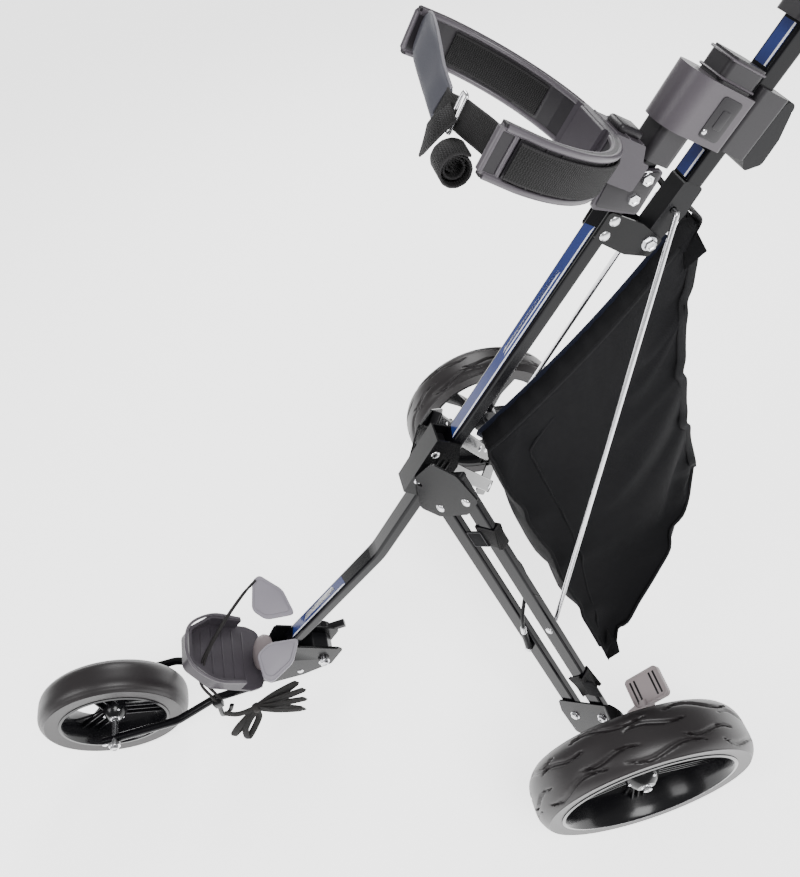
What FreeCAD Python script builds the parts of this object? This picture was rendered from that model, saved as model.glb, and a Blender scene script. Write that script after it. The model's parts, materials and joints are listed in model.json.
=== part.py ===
import FreeCAD, Part
import math
import os
from FreeCAD import Placement, Rotation, Vector

# A three-wheel folding golf push cart. Millimetres, +X forward, +Y left, +Z up, floor at Z = 0.
# The origin lies on the floor under the middle of the cart's overall box.
# Places along the frame are given in two local frames that lean with the main tube:
# "upper" for the tube above its bend and "lower" for the tube below it. In both, x runs
# down along the tube, y to the left and z square to the tube, forward and up. Each leg has
# its own frame too: x down the leg, y away from the cart in the leg's plane, z out of it.

SIZES = {
    # overall layout
    "axle_setback": 201.0,          # rear axle behind the origin
    "wheelbase": 741.0,
    "track": 672.0,
    "rear_wheel_radius": 146.0,
    "front_wheel_radius": 115.0,
    # main tube
    "tube_width": 26.0,
    "tube_depth": 18.0,
    "tube_wall": 1.6,
    "tube_corner": 4.0,
    "upper_slope": 52.75,
    "lower_slope": 42.2,
    "upper_origin_forward": -123.0,
    "upper_origin_height": 800.0,
    "lower_origin_forward": 431.0,
    "lower_origin_height": 148.0,
    "bend_radius": 110.0,
    "toe_radius": 34.0,
    "toe_length": 40.0,
    "label_film": 0.4,
    "label_margin": 1.0,
    # fits and fasteners
    "running_gap": 0.4,
    "plate_thickness": 2.5,
    "rivet_radius": 3.0,
    "rivet_head_radius": 5.5,
    "rivet_head_height": 2.2,
    "bolt_radius": 4.0,
    "bolt_head_radius": 6.5,
    "bolt_head_height": 4.5,
    "hole_clearance": 0.05,
    # upper bracket and handle hinge
    "handle_pivot_along": 57.0,
    "handle_pivot_behind": 55.0,
    "handle_setback": 59.0,
    "handle_depth": 22.0,
    "handle_length": 215.0,
    "crank_length": 38.0,
    "rod_side": 16.4,
    "rod_end_gap": 3.6,
    # frame clamp
    "clamp_height": 49.0,
    "clamp_foot_along": -45.0,
    "clamp_half_width": 24.0,
    "clamp_front": 22.0,
    "cap_height": 22.0,
    "cap_half_width": 18.0,
    "lock_half_width": 21.0,
    "lock_wall": 16.0,
    "lever_knuckle": 6.0,
    "lever_length": 62.0,
    # upper bag cradle
    "cradle_radius": 118.0,
    "cradle_reach": 215.0,
    "cradle_band": 41.0,
    "cradle_wall": 7.0,
    "cradle_top": 26.0,
    "strap_slot": 30.0,
    "strap_width": 26.0,
    "strap_thickness": 3.0,
    "saddle_half_width": 24.0,
    # legs
    "leg_pivot_forward": 144.0,
    "leg_pivot_side": 45.0,
    "leg_pivot_height": 434.0,
    "leg_foot_forward": 44.0,
    "leg_foot_side": 225.0,
    "leg_foot_height": 85.0,
    "leg_plane_turn": 44.0,
    "link_offset_along": -7.6,
    "link_offset_out": 49.3,
    "bar_width": 23.0,
    "bar_thickness": 12.0,
    "bar_wall": 1.5,
    "bar_overhang": 13.0,
    "link_tail": 34.0,
    "cable_entry_along": 99.0,
    # push rods
    "rod_radius": 3.0,
    "rod_foot_along": 222.0,
    # rear wheels and brake
    "axle_radius": 5.0,
    "axle_inset": 10.0,
    "axle_inner": 260.0,
    "boss_radius": 11.0,
    "boss_reach": 12.0,
    "rear_tyre_width": 64.0,
    "rear_tyre_depth": 28.0,
    "rear_hub_radius": 24.0,
    "hub_gap": 0.03,
    "hub_inset": 6.0,
    "rim_inset": 4.0,
    "rim_wall": 6.0,
    "tyre_shoulder": 9.0,
    "spoke_depth": 8.0,
    "spoke_width": 22.0,
    "rear_spokes": 5,
    "pedal_length": 50.0,
    "pedal_width": 40.0,
    "pedal_slope": 34.0,
    "pedal_collar_inner": 276.0,
    "pedal_collar_width": 18.0,
    # front wheel, fork and lower cradle
    "fork_pivot_forward": 395.0,
    "fork_pivot_height": 88.0,
    "fork_half_width": 52.0,
    "fork_tube_radius": 6.5,
    "fork_plate_side": 17.5,
    "fork_neck_side": 32.0,
    "fork_neck_height": 100.0,
    "fork_bridge_forward": 545.0,
    "toe_turn": 28.0,
    "front_tyre_width": 56.0,
    "front_tyre_depth": 31.0,
    "front_hub_radius": 20.0,
    "front_spokes": 3,
    "knob_radius": 21.0,
    "knob_depth": 15.0,
    "shelf_half_width": 56.0,
    "shelf_thickness": 5.0,
    "shelf_place": 66.0,
    "shelf_lip": 24.0,
    "wing_forward": 452.0,
    "wing_height": 190.0,
    "wing_pitch": -16.0,
    "wing_splay": 14.0,
    # handle bar and cords
    "joint_length": 77.0,
    "bar_back": 118.0,
    "bar_rise": 62.0,
    "grip_start": 22.0,
    "cable_radius": 2.5,
    "grip_radius": 14.0,
    "grip_length": 105.0,
    "handle_bar_radius": 9.0,
}

document = FreeCAD.newDocument("push_cart")
sheet = document.addObject("Spreadsheet::Sheet", "Sizes")
for row, (alias, value) in enumerate(SIZES.items(), start=1):
    sheet.set(f"A{row}", alias)
    sheet.set(f"B{row}", str(value))
    sheet.setAlias(f"B{row}", alias)
document.recompute()

NODES = []


def size(alias):
    """The value of one driving dimension."""
    return float(sheet.get(alias))


def bind(item, **expressions):
    """Binds properties of an object to formulas over the sheet."""
    for prop, formula in expressions.items():
        item.setExpression(prop, formula)


def node(item, label):
    """Names an object as a sub-part that is written to its own file."""
    item.Label = label
    NODES.append(item)
    return item


# ---------------------------------------------------------------- frames

AXLE_X = -size("axle_setback")
X_AXIS = Vector(1, 0, 0)
Y_AXIS = Vector(0, 1, 0)
Z_AXIS = Vector(0, 0, 1)

cart = Placement(Vector(AXLE_X, 0, 0), Rotation())
upper = Placement(
    Vector(AXLE_X + size("upper_origin_forward"), 0, size("upper_origin_height")),
    Rotation(Y_AXIS, size("upper_slope")),
)
lower = Placement(
    Vector(AXLE_X + size("lower_origin_forward"), 0, size("lower_origin_height")),
    Rotation(Y_AXIS, size("lower_slope")),
)


def leg_frame(side):
    """The frame of one leg: x down the leg, z out of the leg's plane. Side is 1 left, -1 right."""
    pivot = Vector(
        AXLE_X + size("leg_pivot_forward"), side * size("leg_pivot_side"), size("leg_pivot_height")
    )
    foot = Vector(AXLE_X + size("leg_foot_forward"), side * size("leg_foot_side"), size("leg_foot_height"))
    down = (foot - pivot).normalize()
    turn = math.radians(size("leg_plane_turn"))
    outward = Vector(-math.sin(turn), side * math.cos(turn), 0)
    normal = side * down.cross(outward)
    normal.normalize()
    return Placement(pivot, Rotation(down, normal.cross(down), normal, "XZY"))


LEGS = {side: leg_frame(side) for side in (1, -1)}
SIDE_NAMES = {1: "left", -1: "right"}
LEG_LENGTH = math.dist(
    (size("leg_pivot_forward"), size("leg_pivot_side"), size("leg_pivot_height")),
    (size("leg_foot_forward"), size("leg_foot_side"), size("leg_foot_height")),
)


# ---------------------------------------------------------------- shape helpers

PLANES = {"XY": "XY_Plane", "XZ": "XZ_Plane", "YZ": "YZ_Plane"}
PLANE_NORMAL_SIGN = {"XY": 1, "XZ": -1, "YZ": 1}


def origin_plane(body, plane):
    """One of a body's own origin planes."""
    return next(item for item in body.Origin.OriginFeatures if item.Role == PLANES[plane])


def add_outline(sketch, points, corner=0.0):
    """Draws a closed outline of straight runs, each corner rounded with one arc."""
    count = len(points)
    corners = [Vector(x, y, 0) for x, y in points]
    starts = []
    ends = []
    arcs = []
    for index, here in enumerate(corners):
        before = (corners[index - 1] - here).normalize()
        after = (corners[(index + 1) % count] - here).normalize()
        half = before.getAngle(after) / 2
        reach = min(
            corner / math.tan(half),
            0.45 * (corners[index - 1] - here).Length,
            0.45 * (corners[(index + 1) % count] - here).Length,
        )
        start = here + before * reach
        end = here + after * reach
        starts.append(start)
        ends.append(end)
        if corner > 0:
            bisector = (before + after).normalize()
            radius = reach * math.tan(half)
            middle = here + bisector * (reach / math.cos(half) - radius)
            arcs.append(Part.Arc(start, middle, end))
    for index in range(count):
        sketch.addGeometry(Part.LineSegment(ends[index - 1], starts[index]), False)
    for arc in arcs:
        sketch.addGeometry(arc, False)


def new_sketch(body, plane, offset=0.0, turn=None):
    """A sketch on one of the body's origin planes, moved along the plane's normal."""
    sketch = body.newObject("Sketcher::SketchObject", body.Name + "_sketch")
    sketch.AttachmentSupport = [(origin_plane(body, plane), "")]
    sketch.MapMode = "FlatFace"
    rotation = turn or Rotation()
    sketch.AttachmentOffset = Placement(Vector(0, 0, PLANE_NORMAL_SIGN[plane] * offset), rotation)
    return sketch


def slab(name, frame, plane, outline, offset, thickness, corner=0.0):
    """A flat piece: an outline in one plane of a frame, padded evenly both ways."""
    body = document.addObject("PartDesign::Body", name)
    sketch = new_sketch(body, plane, offset)
    add_outline(sketch, outline, corner)
    pad = body.newObject("PartDesign::Pad", name + "_pad")
    pad.Profile = sketch
    pad.Midplane = True
    bind(pad, Length=thickness)
    body.Placement = frame
    return body


def block(name, frame, low, high, corner=0.0):
    """A box between two corners of a frame, its edges along x rounded."""
    outline = [(low[1], low[2]), (high[1], low[2]), (high[1], high[2]), (low[1], high[2])]
    middle = (low[0] + high[0]) / 2
    return slab(name, frame, "YZ", outline, middle, f"{high[0] - low[0]} mm", corner)


def rod(name, frame, start, end, radius):
    """A round bar between two points of a frame; radius is a formula over the sheet."""
    run = end - start
    item = document.addObject("Part::Cylinder", name)
    bind(item, Radius=radius)
    item.Height = run.Length
    item.Placement = frame.multiply(Placement(start, Rotation(Z_AXIS, run)))
    return item


def revolved(name, frame, outline, corner=0.0):
    """A body turned about its own y axis from an outline of (radius, place along y)."""
    body = document.addObject("PartDesign::Body", name)
    sketch = new_sketch(body, "XY")
    add_outline(sketch, outline, corner)
    turned = body.newObject("PartDesign::Revolution", name + "_turned")
    turned.Profile = sketch
    turned.ReferenceAxis = (sketch, ["V_Axis"])
    turned.Angle = 360
    body.Placement = frame
    return body


def joined(name, pieces):
    """One solid made of several."""
    item = document.addObject("Part::MultiFuse", name)
    item.Shapes = pieces
    return item


def grouped(name, pieces):
    """Several separate solids that share one node."""
    item = document.addObject("Part::Compound", name)
    item.Links = pieces
    return item


def cut(name, base, tool):
    """The base with the tool taken away."""
    item = document.addObject("Part::Cut", name)
    item.Base = base
    item.Tool = tool
    return item


def drilled(name, base, tools):
    """The base with holes cut in it, one or several."""
    return cut(name, base, joined(name + "_tools", tools) if len(tools) > 1 else tools[0])


def bolt(name, frame, start, end, shank="Sizes.bolt_radius", head="Sizes.bolt_head_radius",
         cap="bolt_head_height"):
    """A bolt between two points of a frame, with a head beyond each end."""
    along = (end - start).normalize() * size(cap)
    return joined(name, [
        rod(name + "_shank", frame, start, end, shank),
        rod(name + "_head", frame, start - along, start, head),
        rod(name + "_nut", frame, end, end + along, head),
    ])


def rivet(name, frame, start, end):
    """A rivet between two points of a frame, with a low round head at each end."""
    return bolt(name, frame, start, end, "Sizes.rivet_radius", "Sizes.rivet_head_radius", "rivet_head_height")


def across(name, frame, x, z, half, maker=bolt):
    """A fastener that runs from side to side through the frame."""
    return maker(name, frame, Vector(x, -half, z), Vector(x, half, z))


# ---------------------------------------------------------------- main tube

HALF_WIDTH = size("tube_width") / 2
HALF_DEPTH = size("tube_depth") / 2
GAP = size("running_gap")
PLATE = size("plate_thickness")
PLATE_MIDDLE = HALF_WIDTH + PLATE / 2
PLATE_OUTSIDE = HALF_WIDTH + PLATE
CLAMP_FOOT = size("clamp_foot_along")
CLAMP_TOP = CLAMP_FOOT - size("clamp_height")
FIT = size("hole_clearance")

CRADLE_BOLT_PLACES = ((0.0, -1.0), (21.0, -1.0))
UPPER_RIVET_PLACES = ((48.0, -2.0), (65.0, -2.0))
CENTRE_RIVET_PLACES = ((390.0, 22.0), (439.0, 22.0))
HOLE_REACH = 40.0
SLACK = 0.1
LABEL_RUNS = ((upper, 62.0, 364.0), (lower, -176.0, -22.0))


def frame_holes(name):
    """Holes across the frame for every bolt and rivet that goes through it."""
    holes = []
    for places, radius in (
        (CRADLE_BOLT_PLACES, "Sizes.bolt_radius"),
        (UPPER_RIVET_PLACES, "Sizes.rivet_radius"),
        (CENTRE_RIVET_PLACES, "Sizes.rivet_radius"),
    ):
        for x, z in places:
            reach = Y_AXIS * HOLE_REACH
            middle = Vector(x, 0, z)
            holes.append(rod(name + "_hole", upper, middle - reach, middle + reach, radius))
    return holes


def tube_path():
    """The corners of the main tube's centre line, in the cart's own forward and height."""
    upper_down = math.radians(size("upper_slope"))
    lower_down = math.radians(size("lower_slope"))
    top_run = CLAMP_TOP + 8.0
    top = (
        size("upper_origin_forward") + top_run * math.cos(upper_down),
        size("upper_origin_height") - top_run * math.sin(upper_down),
    )
    upper_rate = -math.tan(upper_down)
    lower_rate = -math.tan(lower_down)
    upper_height = size("upper_origin_height") - upper_rate * size("upper_origin_forward")
    lower_height = size("lower_origin_height") - lower_rate * size("lower_origin_forward")
    bend_x = (lower_height - upper_height) / (upper_rate - lower_rate)
    bend = (bend_x, upper_height + upper_rate * bend_x)
    toe_turn = math.radians(size("lower_slope") + size("toe_turn"))
    knee = (size("lower_origin_forward"), size("lower_origin_height"))
    toe = (
        knee[0] + size("toe_length") * math.cos(toe_turn),
        knee[1] - size("toe_length") * math.sin(toe_turn),
    )
    return [top, bend, knee, toe]


def add_path(sketch, corners, radii):
    """Draws an open line of straight runs joined by tangent arcs."""
    points = [Vector(x, z, 0) for x, z in corners]
    start = points[0]
    for index in range(1, len(points) - 1):
        before = (points[index - 1] - points[index]).normalize()
        after = (points[index + 1] - points[index]).normalize()
        half = before.getAngle(after) / 2
        radius = radii[index - 1]
        reach = radius / math.tan(half)
        first = points[index] + before * reach
        last = points[index] + after * reach
        middle = points[index] + (before + after).normalize() * (radius / math.sin(half) - radius)
        sketch.addGeometry(Part.LineSegment(start, first), False)
        sketch.addGeometry(Part.Arc(first, middle, last), False)
        start = last
    sketch.addGeometry(Part.LineSegment(start, points[-1]), False)


def swept_tube(name, corners, radii, profile_turn, outlines):
    """A hollow section swept along a line in the cart's middle plane."""
    body = document.addObject("PartDesign::Body", name)
    path = new_sketch(body, "XZ")
    add_path(path, corners, radii)
    profile = body.newObject("Sketcher::SketchObject", name + "_section")
    profile.AttachmentSupport = [(origin_plane(body, "XY"), "")]
    profile.MapMode = "FlatFace"
    profile.AttachmentOffset = Placement(Vector(corners[0][0], 0, corners[0][1]), profile_turn)
    for outline, corner in outlines:
        add_outline(profile, outline, corner)
    pipe = body.newObject("PartDesign::AdditivePipe", name + "_pipe")
    pipe.Profile = profile
    pipe.Spine = path
    body.Placement = cart
    return body


def rectangle(half_x, half_y):
    """The four corners of a centred rectangle."""
    return [(-half_x, -half_y), (half_x, -half_y), (half_x, half_y), (-half_x, half_y)]


def build_main_tube():
    """The bent frame tube, with its two printed film labels."""
    wall = size("tube_wall")
    outlines = [
        (rectangle(HALF_DEPTH, HALF_WIDTH), size("tube_corner")),
        (rectangle(HALF_DEPTH - wall, HALF_WIDTH - wall), size("tube_corner") - wall),
    ]
    section_turn = Rotation(Y_AXIS, 90 + size("upper_slope"))
    radii = [size("bend_radius"), size("toe_radius")]
    tube = swept_tube("tube", tube_path(), radii, section_turn, outlines)
    node(drilled("tube_drilled", tube, frame_holes("tube")), "main_tube")
    film = size("label_film")
    reach = HALF_WIDTH - size("tube_corner") - size("label_margin")
    labels = [
        block("tube_label", frame, (start, -reach, HALF_DEPTH), (end, reach, HALF_DEPTH + film))
        for frame, start, end in LABEL_RUNS
    ]
    node(grouped("tube_label_set", labels), "tube_labels")


# ---------------------------------------------------------------- frame clamp at the top of the tube

HANDLE_FRONT = -(size("handle_setback") - size("handle_depth") / 2)
HANDLE_BACK = -(size("handle_setback") + size("handle_depth") / 2)


def build_frame_clamp():
    """The sleeve, the barrel that the handle rests in, and its cap."""
    sleeve_top = CLAMP_FOOT + GAP
    sleeve = block("sleeve_body", upper, (sleeve_top, -17.0, -20.0), (-14.0, 17.0, 14.0), 7.0)
    sleeve_bore = block(
        "sleeve_bore", upper,
        (sleeve_top - 1, -HALF_WIDTH - FIT, -HALF_DEPTH - FIT), (-13.0, HALF_WIDTH + FIT, HALF_DEPTH + FIT),
        size("tube_corner"),
    )
    node(cut("sleeve", sleeve, sleeve_bore), "frame_sleeve")
    half = size("clamp_half_width")
    rear = HANDLE_FRONT - 3.0
    barrel = slab(
        "barrel_body", upper, "YZ",
        [(-half, rear), (half, rear), (half, size("clamp_front")), (-half, size("clamp_front"))],
        (CLAMP_TOP + CLAMP_FOOT) / 2, "Sizes.clamp_height", half * 0.9,
    )
    square_back = block("barrel_back", upper, (CLAMP_TOP, -half, rear), (CLAMP_FOOT, half, -20.0), 4.0)
    barrel_bore = block(
        "barrel_bore", upper,
        (CLAMP_TOP + 6.0, -HALF_WIDTH - FIT, -HALF_DEPTH - FIT),
        (CLAMP_FOOT + 1, HALF_WIDTH + FIT, HALF_DEPTH + FIT),
        size("tube_corner"),
    )
    rest = block(
        "barrel_rest", upper,
        (CLAMP_TOP - 1, -HALF_WIDTH - GAP, rear - 1), (CLAMP_FOOT + 1, HALF_WIDTH + GAP, HANDLE_FRONT + GAP),
    )
    shell = joined("barrel_shell", [barrel, square_back])
    node(cut("barrel", shell, joined("barrel_hollows", [barrel_bore, rest])), "clamp_barrel")
    wide = size("cap_half_width")
    cap = block(
        "cap_body", upper, (CLAMP_TOP - size("cap_height"), -wide, HANDLE_FRONT + GAP),
        (CLAMP_TOP, wide, -6.0), 6.0,
    )
    node(cap, "clamp_cap")


# ---------------------------------------------------------------- upper bag cradle

def arc_points(centre, radius, start, end, steps):
    """Points along a circle about a place, from one angle to another, in degrees."""
    turn = (end - start) / steps
    return [
        (
            centre[0] + radius * math.cos(math.radians(start + turn * index)),
            centre[1] + radius * math.sin(math.radians(start + turn * index)),
        )
        for index in range(steps + 1)
    ]


CRADLE_CENTRE = size("cradle_reach") - 30.0
CRADLE_MIDDLE = size("cradle_band") / 2 - size("cradle_top")
ARM_ROOT_ANGLE = 18.0
SADDLE_TOP = -12.5
SADDLE_CHEEK = ((-13.0, -14.0), (34.0, -17.0), (44.0, 34.0), (8.0, 38.0))
CHEEK = 5.0


def build_cradle():
    """The saddle on the tube and the two arms that hold the bag, with slots for the strap."""
    half = size("saddle_half_width")
    neck_front = CRADLE_CENTRE - size("cradle_radius") + 8.0
    top = -size("cradle_top")
    foot = top + size("cradle_band")
    outline = [(SADDLE_TOP, HALF_DEPTH + SLACK), (foot, HALF_DEPTH + SLACK), (foot, neck_front),
               (top, neck_front), (top, HALF_DEPTH + 16), (SADDLE_TOP, HALF_DEPTH + 8)]
    neck = slab("saddle_neck", upper, "XZ", outline, 0.0, "2 * Sizes.saddle_half_width", 3.0)
    hub_angle = ARM_ROOT_ANGLE - 0.3
    hub_wall = size("cradle_wall") + 3.0
    hub = [(y, CRADLE_CENTRE + z) for z, y in
           arc_points((0, 0), size("cradle_radius") + hub_wall, 180 - hub_angle, 180 + hub_angle, 8)
           + arc_points((0, 0), size("cradle_radius") - 1.0, 180 + hub_angle, 180 - hub_angle, 8)]
    yoke = slab("saddle_yoke", upper, "YZ", hub, CRADLE_MIDDLE, "Sizes.cradle_band")
    cheeks = []
    for side in (1, -1):
        name = "saddle_cheek_" + SIDE_NAMES[side]
        place = side * (HALF_WIDTH + CHEEK / 2 + SLACK)
        cheeks.append(slab(name, upper, "XZ", SADDLE_CHEEK, place, f"{CHEEK} mm", 4.0))
    saddle = joined("saddle", [neck, yoke] + cheeks)
    node(drilled("saddle_drilled", saddle, frame_holes("saddle")), "cradle_saddle")
    radius = size("cradle_radius")
    wall = size("cradle_wall")
    for side in (1, -1):
        side_name = SIDE_NAMES[side]
        outer = arc_points((0, 0), radius + wall, 180 - ARM_ROOT_ANGLE, 90, 10)
        inner = arc_points((0, 0), radius, 90, 180 - ARM_ROOT_ANGLE, 10)
        reach = size("cradle_reach") - CRADLE_CENTRE
        tip = [(reach, radius + wall - 5.0), (reach, radius - 5.0)]
        band = [(side * y, CRADLE_CENTRE + z) for z, y in outer + tip + inner]
        arm = slab("arm_band_" + side_name, upper, "YZ", band, CRADLE_MIDDLE, "Sizes.cradle_band")
        half_slot = size("strap_slot") / 2
        slot_low = (CRADLE_MIDDLE - half_slot, radius - 20.0, CRADLE_CENTRE + 15.0)
        slot_high = (CRADLE_MIDDLE + half_slot, radius + 20.0, CRADLE_CENTRE + 21.0)
        slot = block(
            "arm_slot_" + side_name, upper,
            (slot_low[0], min(side * slot_low[1], side * slot_high[1]), slot_low[2]),
            (slot_high[0], max(side * slot_low[1], side * slot_high[1]), slot_high[2]),
        )
        node(cut("arm_" + side_name, arm, slot), "cradle_arm_" + side_name)
    outside = HALF_WIDTH + CHEEK + SLACK
    bolts = [across("cradle_bolt", upper, x, z, outside) for x, z in CRADLE_BOLT_PLACES]
    node(grouped("cradle_bolt_set", bolts), "cradle_bolts")


# ---------------------------------------------------------------- upper bracket

def build_upper_bracket():
    """Two plates on the tube's sides that carry the handle's pivot."""
    pivot_x = size("handle_pivot_along")
    pivot_z = -size("handle_pivot_behind")
    outline = [(41.0, 9.0), (72.0, 8.0), (76.0, -36.0), (pivot_x + 13, pivot_z - 10),
               (pivot_x - 8, pivot_z - 12), (41.0, -34.0)]
    for side in (1, -1):
        name = "upper_bracket_" + SIDE_NAMES[side]
        plate = slab(name + "_plate", upper, "XZ", outline, side * PLATE_MIDDLE, "Sizes.plate_thickness", 4.0)
        hole = rod(
            name + "_hole", upper, Vector(pivot_x, side * (HALF_WIDTH - 1), pivot_z),
            Vector(pivot_x, side * (PLATE_OUTSIDE + 1), pivot_z), "Sizes.bolt_radius + Sizes.hole_clearance",
        )
        node(drilled(name + "_drilled", plate, [hole] + frame_holes(name)), name)
    places = UPPER_RIVET_PLACES + CENTRE_RIVET_PLACES
    rivets = [across("frame_rivet", upper, x, z, PLATE_OUTSIDE, rivet) for x, z in places]
    node(grouped("frame_rivet_set", rivets), "frame_rivets")
    node(across("handle_bolt", upper, pivot_x, pivot_z, PLATE_OUTSIDE), "handle_pivot_bolt")


# ---------------------------------------------------------------- centre bracket and legs

WEB_FRONT = 32.0
BRACKET_RUN = (366.0, 462.0)
BRACKET_WING = (
    (-70.0, 32.0), (-48.0, 60.0), (-8.0, 70.0), (12.0, 40.0), (14.0, -10.0), (-2.0, -36.0), (-52.0, -9.0),
)
PACKER_RUN = (378.0, 452.0)
FOOT_PLATE = ((376, -15), (366, 78), (392, 92), (425, 62), (450, 14), (450, -20), (400, -22))
LINK_X = size("link_offset_along")
LINK_Y = size("link_offset_out")
PIVOTS = ((0.0, 0.0), (LINK_X, LINK_Y))
FOOT_PIVOTS = ((LEG_LENGTH, 0.0), (LEG_LENGTH + LINK_X, LINK_Y))


def leg_point(side, x, y, z):
    """A place in a leg's frame, where y is away from the cart on both sides."""
    return Vector(x, side * y, z)


def build_centre_bracket():
    """The folded steel channel round the tube, with a flared wing for each leg."""
    top, foot = BRACKET_RUN
    web_low = (top, -PLATE_OUTSIDE, WEB_FRONT - PLATE)
    pieces = [block("bracket_web", upper, web_low, (foot, PLATE_OUTSIDE, WEB_FRONT))]
    for side in (1, -1):
        name = "bracket_side_" + SIDE_NAMES[side]
        outline = [(top, WEB_FRONT), (foot, WEB_FRONT), (foot + 8, -18.0), (top + 38, -18.0), (top, -2.0)]
        pieces.append(slab(name, upper, "XZ", outline, side * PLATE_MIDDLE, "Sizes.plate_thickness"))
        wing = [(x, side * y) for x, y in BRACKET_WING]
        name = "bracket_wing_" + SIDE_NAMES[side]
        pieces.append(slab(name, LEGS[side], "XY", wing, -PLATE / 2, "Sizes.plate_thickness", 7.0))
    shell = joined("bracket_shell", pieces)
    core = block(
        "bracket_core", upper, (top - 30, -HALF_WIDTH, -40.0), (foot + 40, HALF_WIDTH, WEB_FRONT - PLATE)
    )
    holes = []
    for side in (1, -1):
        for x, y in PIVOTS:
            start = leg_point(side, x, y, -PLATE - 1)
            end = leg_point(side, x, y, 1.0)
            width = "Sizes.rivet_radius + Sizes.hole_clearance"
            holes.append(rod("pivot_hole", LEGS[side], start, end, width))
        for x, z in CENTRE_RIVET_PLACES:
            near = Vector(x, side * PLATE_OUTSIDE, z)
            far = Vector(x, side * (PLATE_OUTSIDE + size("rivet_head_height") + SLACK), z)
            holes.append(rod("rivet_room", upper, near, far, "Sizes.rivet_head_radius + 0.1"))
    node(drilled("bracket", shell, holes + [core] + frame_holes("bracket")), "centre_bracket")
    packer = block(
        "packer", upper, (PACKER_RUN[0], SLACK - HALF_WIDTH, HALF_DEPTH + SLACK),
        (PACKER_RUN[1], HALF_WIDTH - SLACK, WEB_FRONT - PLATE - SLACK), 2.0,
    )
    node(drilled("packer_drilled", packer, frame_holes("packer")), "bracket_packer")
    pins = []
    for side in (1, -1):
        for x, y in PIVOTS:
            start = leg_point(side, x, y, 0.0)
            end = leg_point(side, x, y, -PLATE - GAP * 2 - size("bar_thickness"))
            pins.append(rivet("leg_pin", LEGS[side], start, end))
    node(grouped("leg_pin_set", pins), "leg_pivot_pins")


BAR_TOP = -PLATE - GAP
BAR_BACK = BAR_TOP - size("bar_thickness")


def hollow_bar(name, side, start, end, middle, places):
    """A rectangular leg tube in the leg's frame, drilled for its pivots at the given places along it."""
    half = size("bar_width") / 2
    wall = size("bar_wall")
    frame = LEGS[side]
    line = side * middle
    outside = block(
        name + "_outside", frame, (start, line - half, BAR_BACK), (end, line + half, BAR_TOP), 3.0
    )
    inside = block(
        name + "_inside", frame,
        (start - 1, line - half + wall, BAR_BACK + wall), (end + 1, line + half - wall, BAR_TOP - wall), 1.5,
    )
    holes = [
        rod(name + "_hole", frame, Vector(x, line, BAR_BACK - 1), Vector(x, line, BAR_TOP + 1),
            "Sizes.rivet_radius + Sizes.hole_clearance")
        for x in places
    ]
    return cut(name, outside, joined(name + "_tools", [inside] + holes))


def build_leg(side):
    """One leg: two parallel bars, the bracket at their foot and the stub axle."""
    name = SIDE_NAMES[side]
    frame = LEGS[side]
    over = size("bar_overhang")
    main = hollow_bar("leg_bar_" + name, side, -over, LEG_LENGTH + over, 0.0, (0.0, LEG_LENGTH))
    node(main, "leg_bar_" + name)
    foot = LEG_LENGTH + LINK_X
    link = hollow_bar("link_tube_" + name, side, LINK_X - size("link_tail"), foot + over, LINK_Y,
                      (LINK_X, foot, size("rod_foot_along")))
    entry_x = size("cable_entry_along")
    entry = rod("cable_entry_" + name, frame, leg_point(side, entry_x, LINK_Y, BAR_BACK - 1),
                leg_point(side, entry_x, LINK_Y, BAR_BACK + 3), "Sizes.cable_radius + 5")
    node(cut("link_bar_bored_" + name, link, entry), "link_bar_" + name)
    plate = slab("foot_plate_" + name, frame, "XY", [(x, side * y) for x, y in FOOT_PLATE], -PLATE / 2,
                 "Sizes.plate_thickness", 6.0)
    axle_height = size("rear_wheel_radius")
    inner = size("axle_inner")
    reach = size("boss_reach")
    boss = rod("axle_boss_" + name, cart, Vector(0, side * (inner - reach), axle_height),
               Vector(0, side * (inner + reach), axle_height), "Sizes.boss_radius")
    holes = [
        rod("foot_hole", frame, leg_point(side, x, y, -PLATE - 1), leg_point(side, x, y, 1.0),
            "Sizes.rivet_radius + Sizes.hole_clearance")
        for x, y in FOOT_PIVOTS
    ]
    axle_hole = rod("axle_hole", cart, Vector(0, side * (inner - 2 * reach), axle_height),
                    Vector(0, side * (inner + 2 * reach), axle_height), "Sizes.axle_radius")
    bar_room = block("bar_room_" + name, frame, (LEG_LENGTH - 90, -130.0, BAR_BACK - 30),
                     (LEG_LENGTH + 60, 130.0, -PLATE))
    drilled_plate = drilled("foot_plate_drilled_" + name, plate, holes + [axle_hole])
    drilled_boss = drilled("foot_boss_drilled_" + name, boss, [axle_hole, bar_room])
    node(joined("foot_" + name, [drilled_plate, drilled_boss]), "axle_bracket_" + name)
    pins = [
        rivet("foot_pin", frame, leg_point(side, x, y, 0.0), leg_point(side, x, y, BAR_BACK - GAP))
        for x, y in FOOT_PIVOTS
    ]
    node(grouped("foot_pins_" + name, pins), "axle_bracket_pins_" + name)
    outer = (size("track") + size("rear_tyre_width")) / 2 - size("axle_inset")
    node(rod("stub_" + name, cart, Vector(0, side * inner, axle_height), Vector(0, side * outer, axle_height),
             "Sizes.axle_radius"), "rear_axle_" + name)


# ---------------------------------------------------------------- wheels

TREAD_SHARE = 0.55


def wheel_frame(forward, side_place, radius):
    """A wheel's frame, with y along its axle."""
    return Placement(Vector(AXLE_X + forward, side_place, radius), Rotation())


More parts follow.
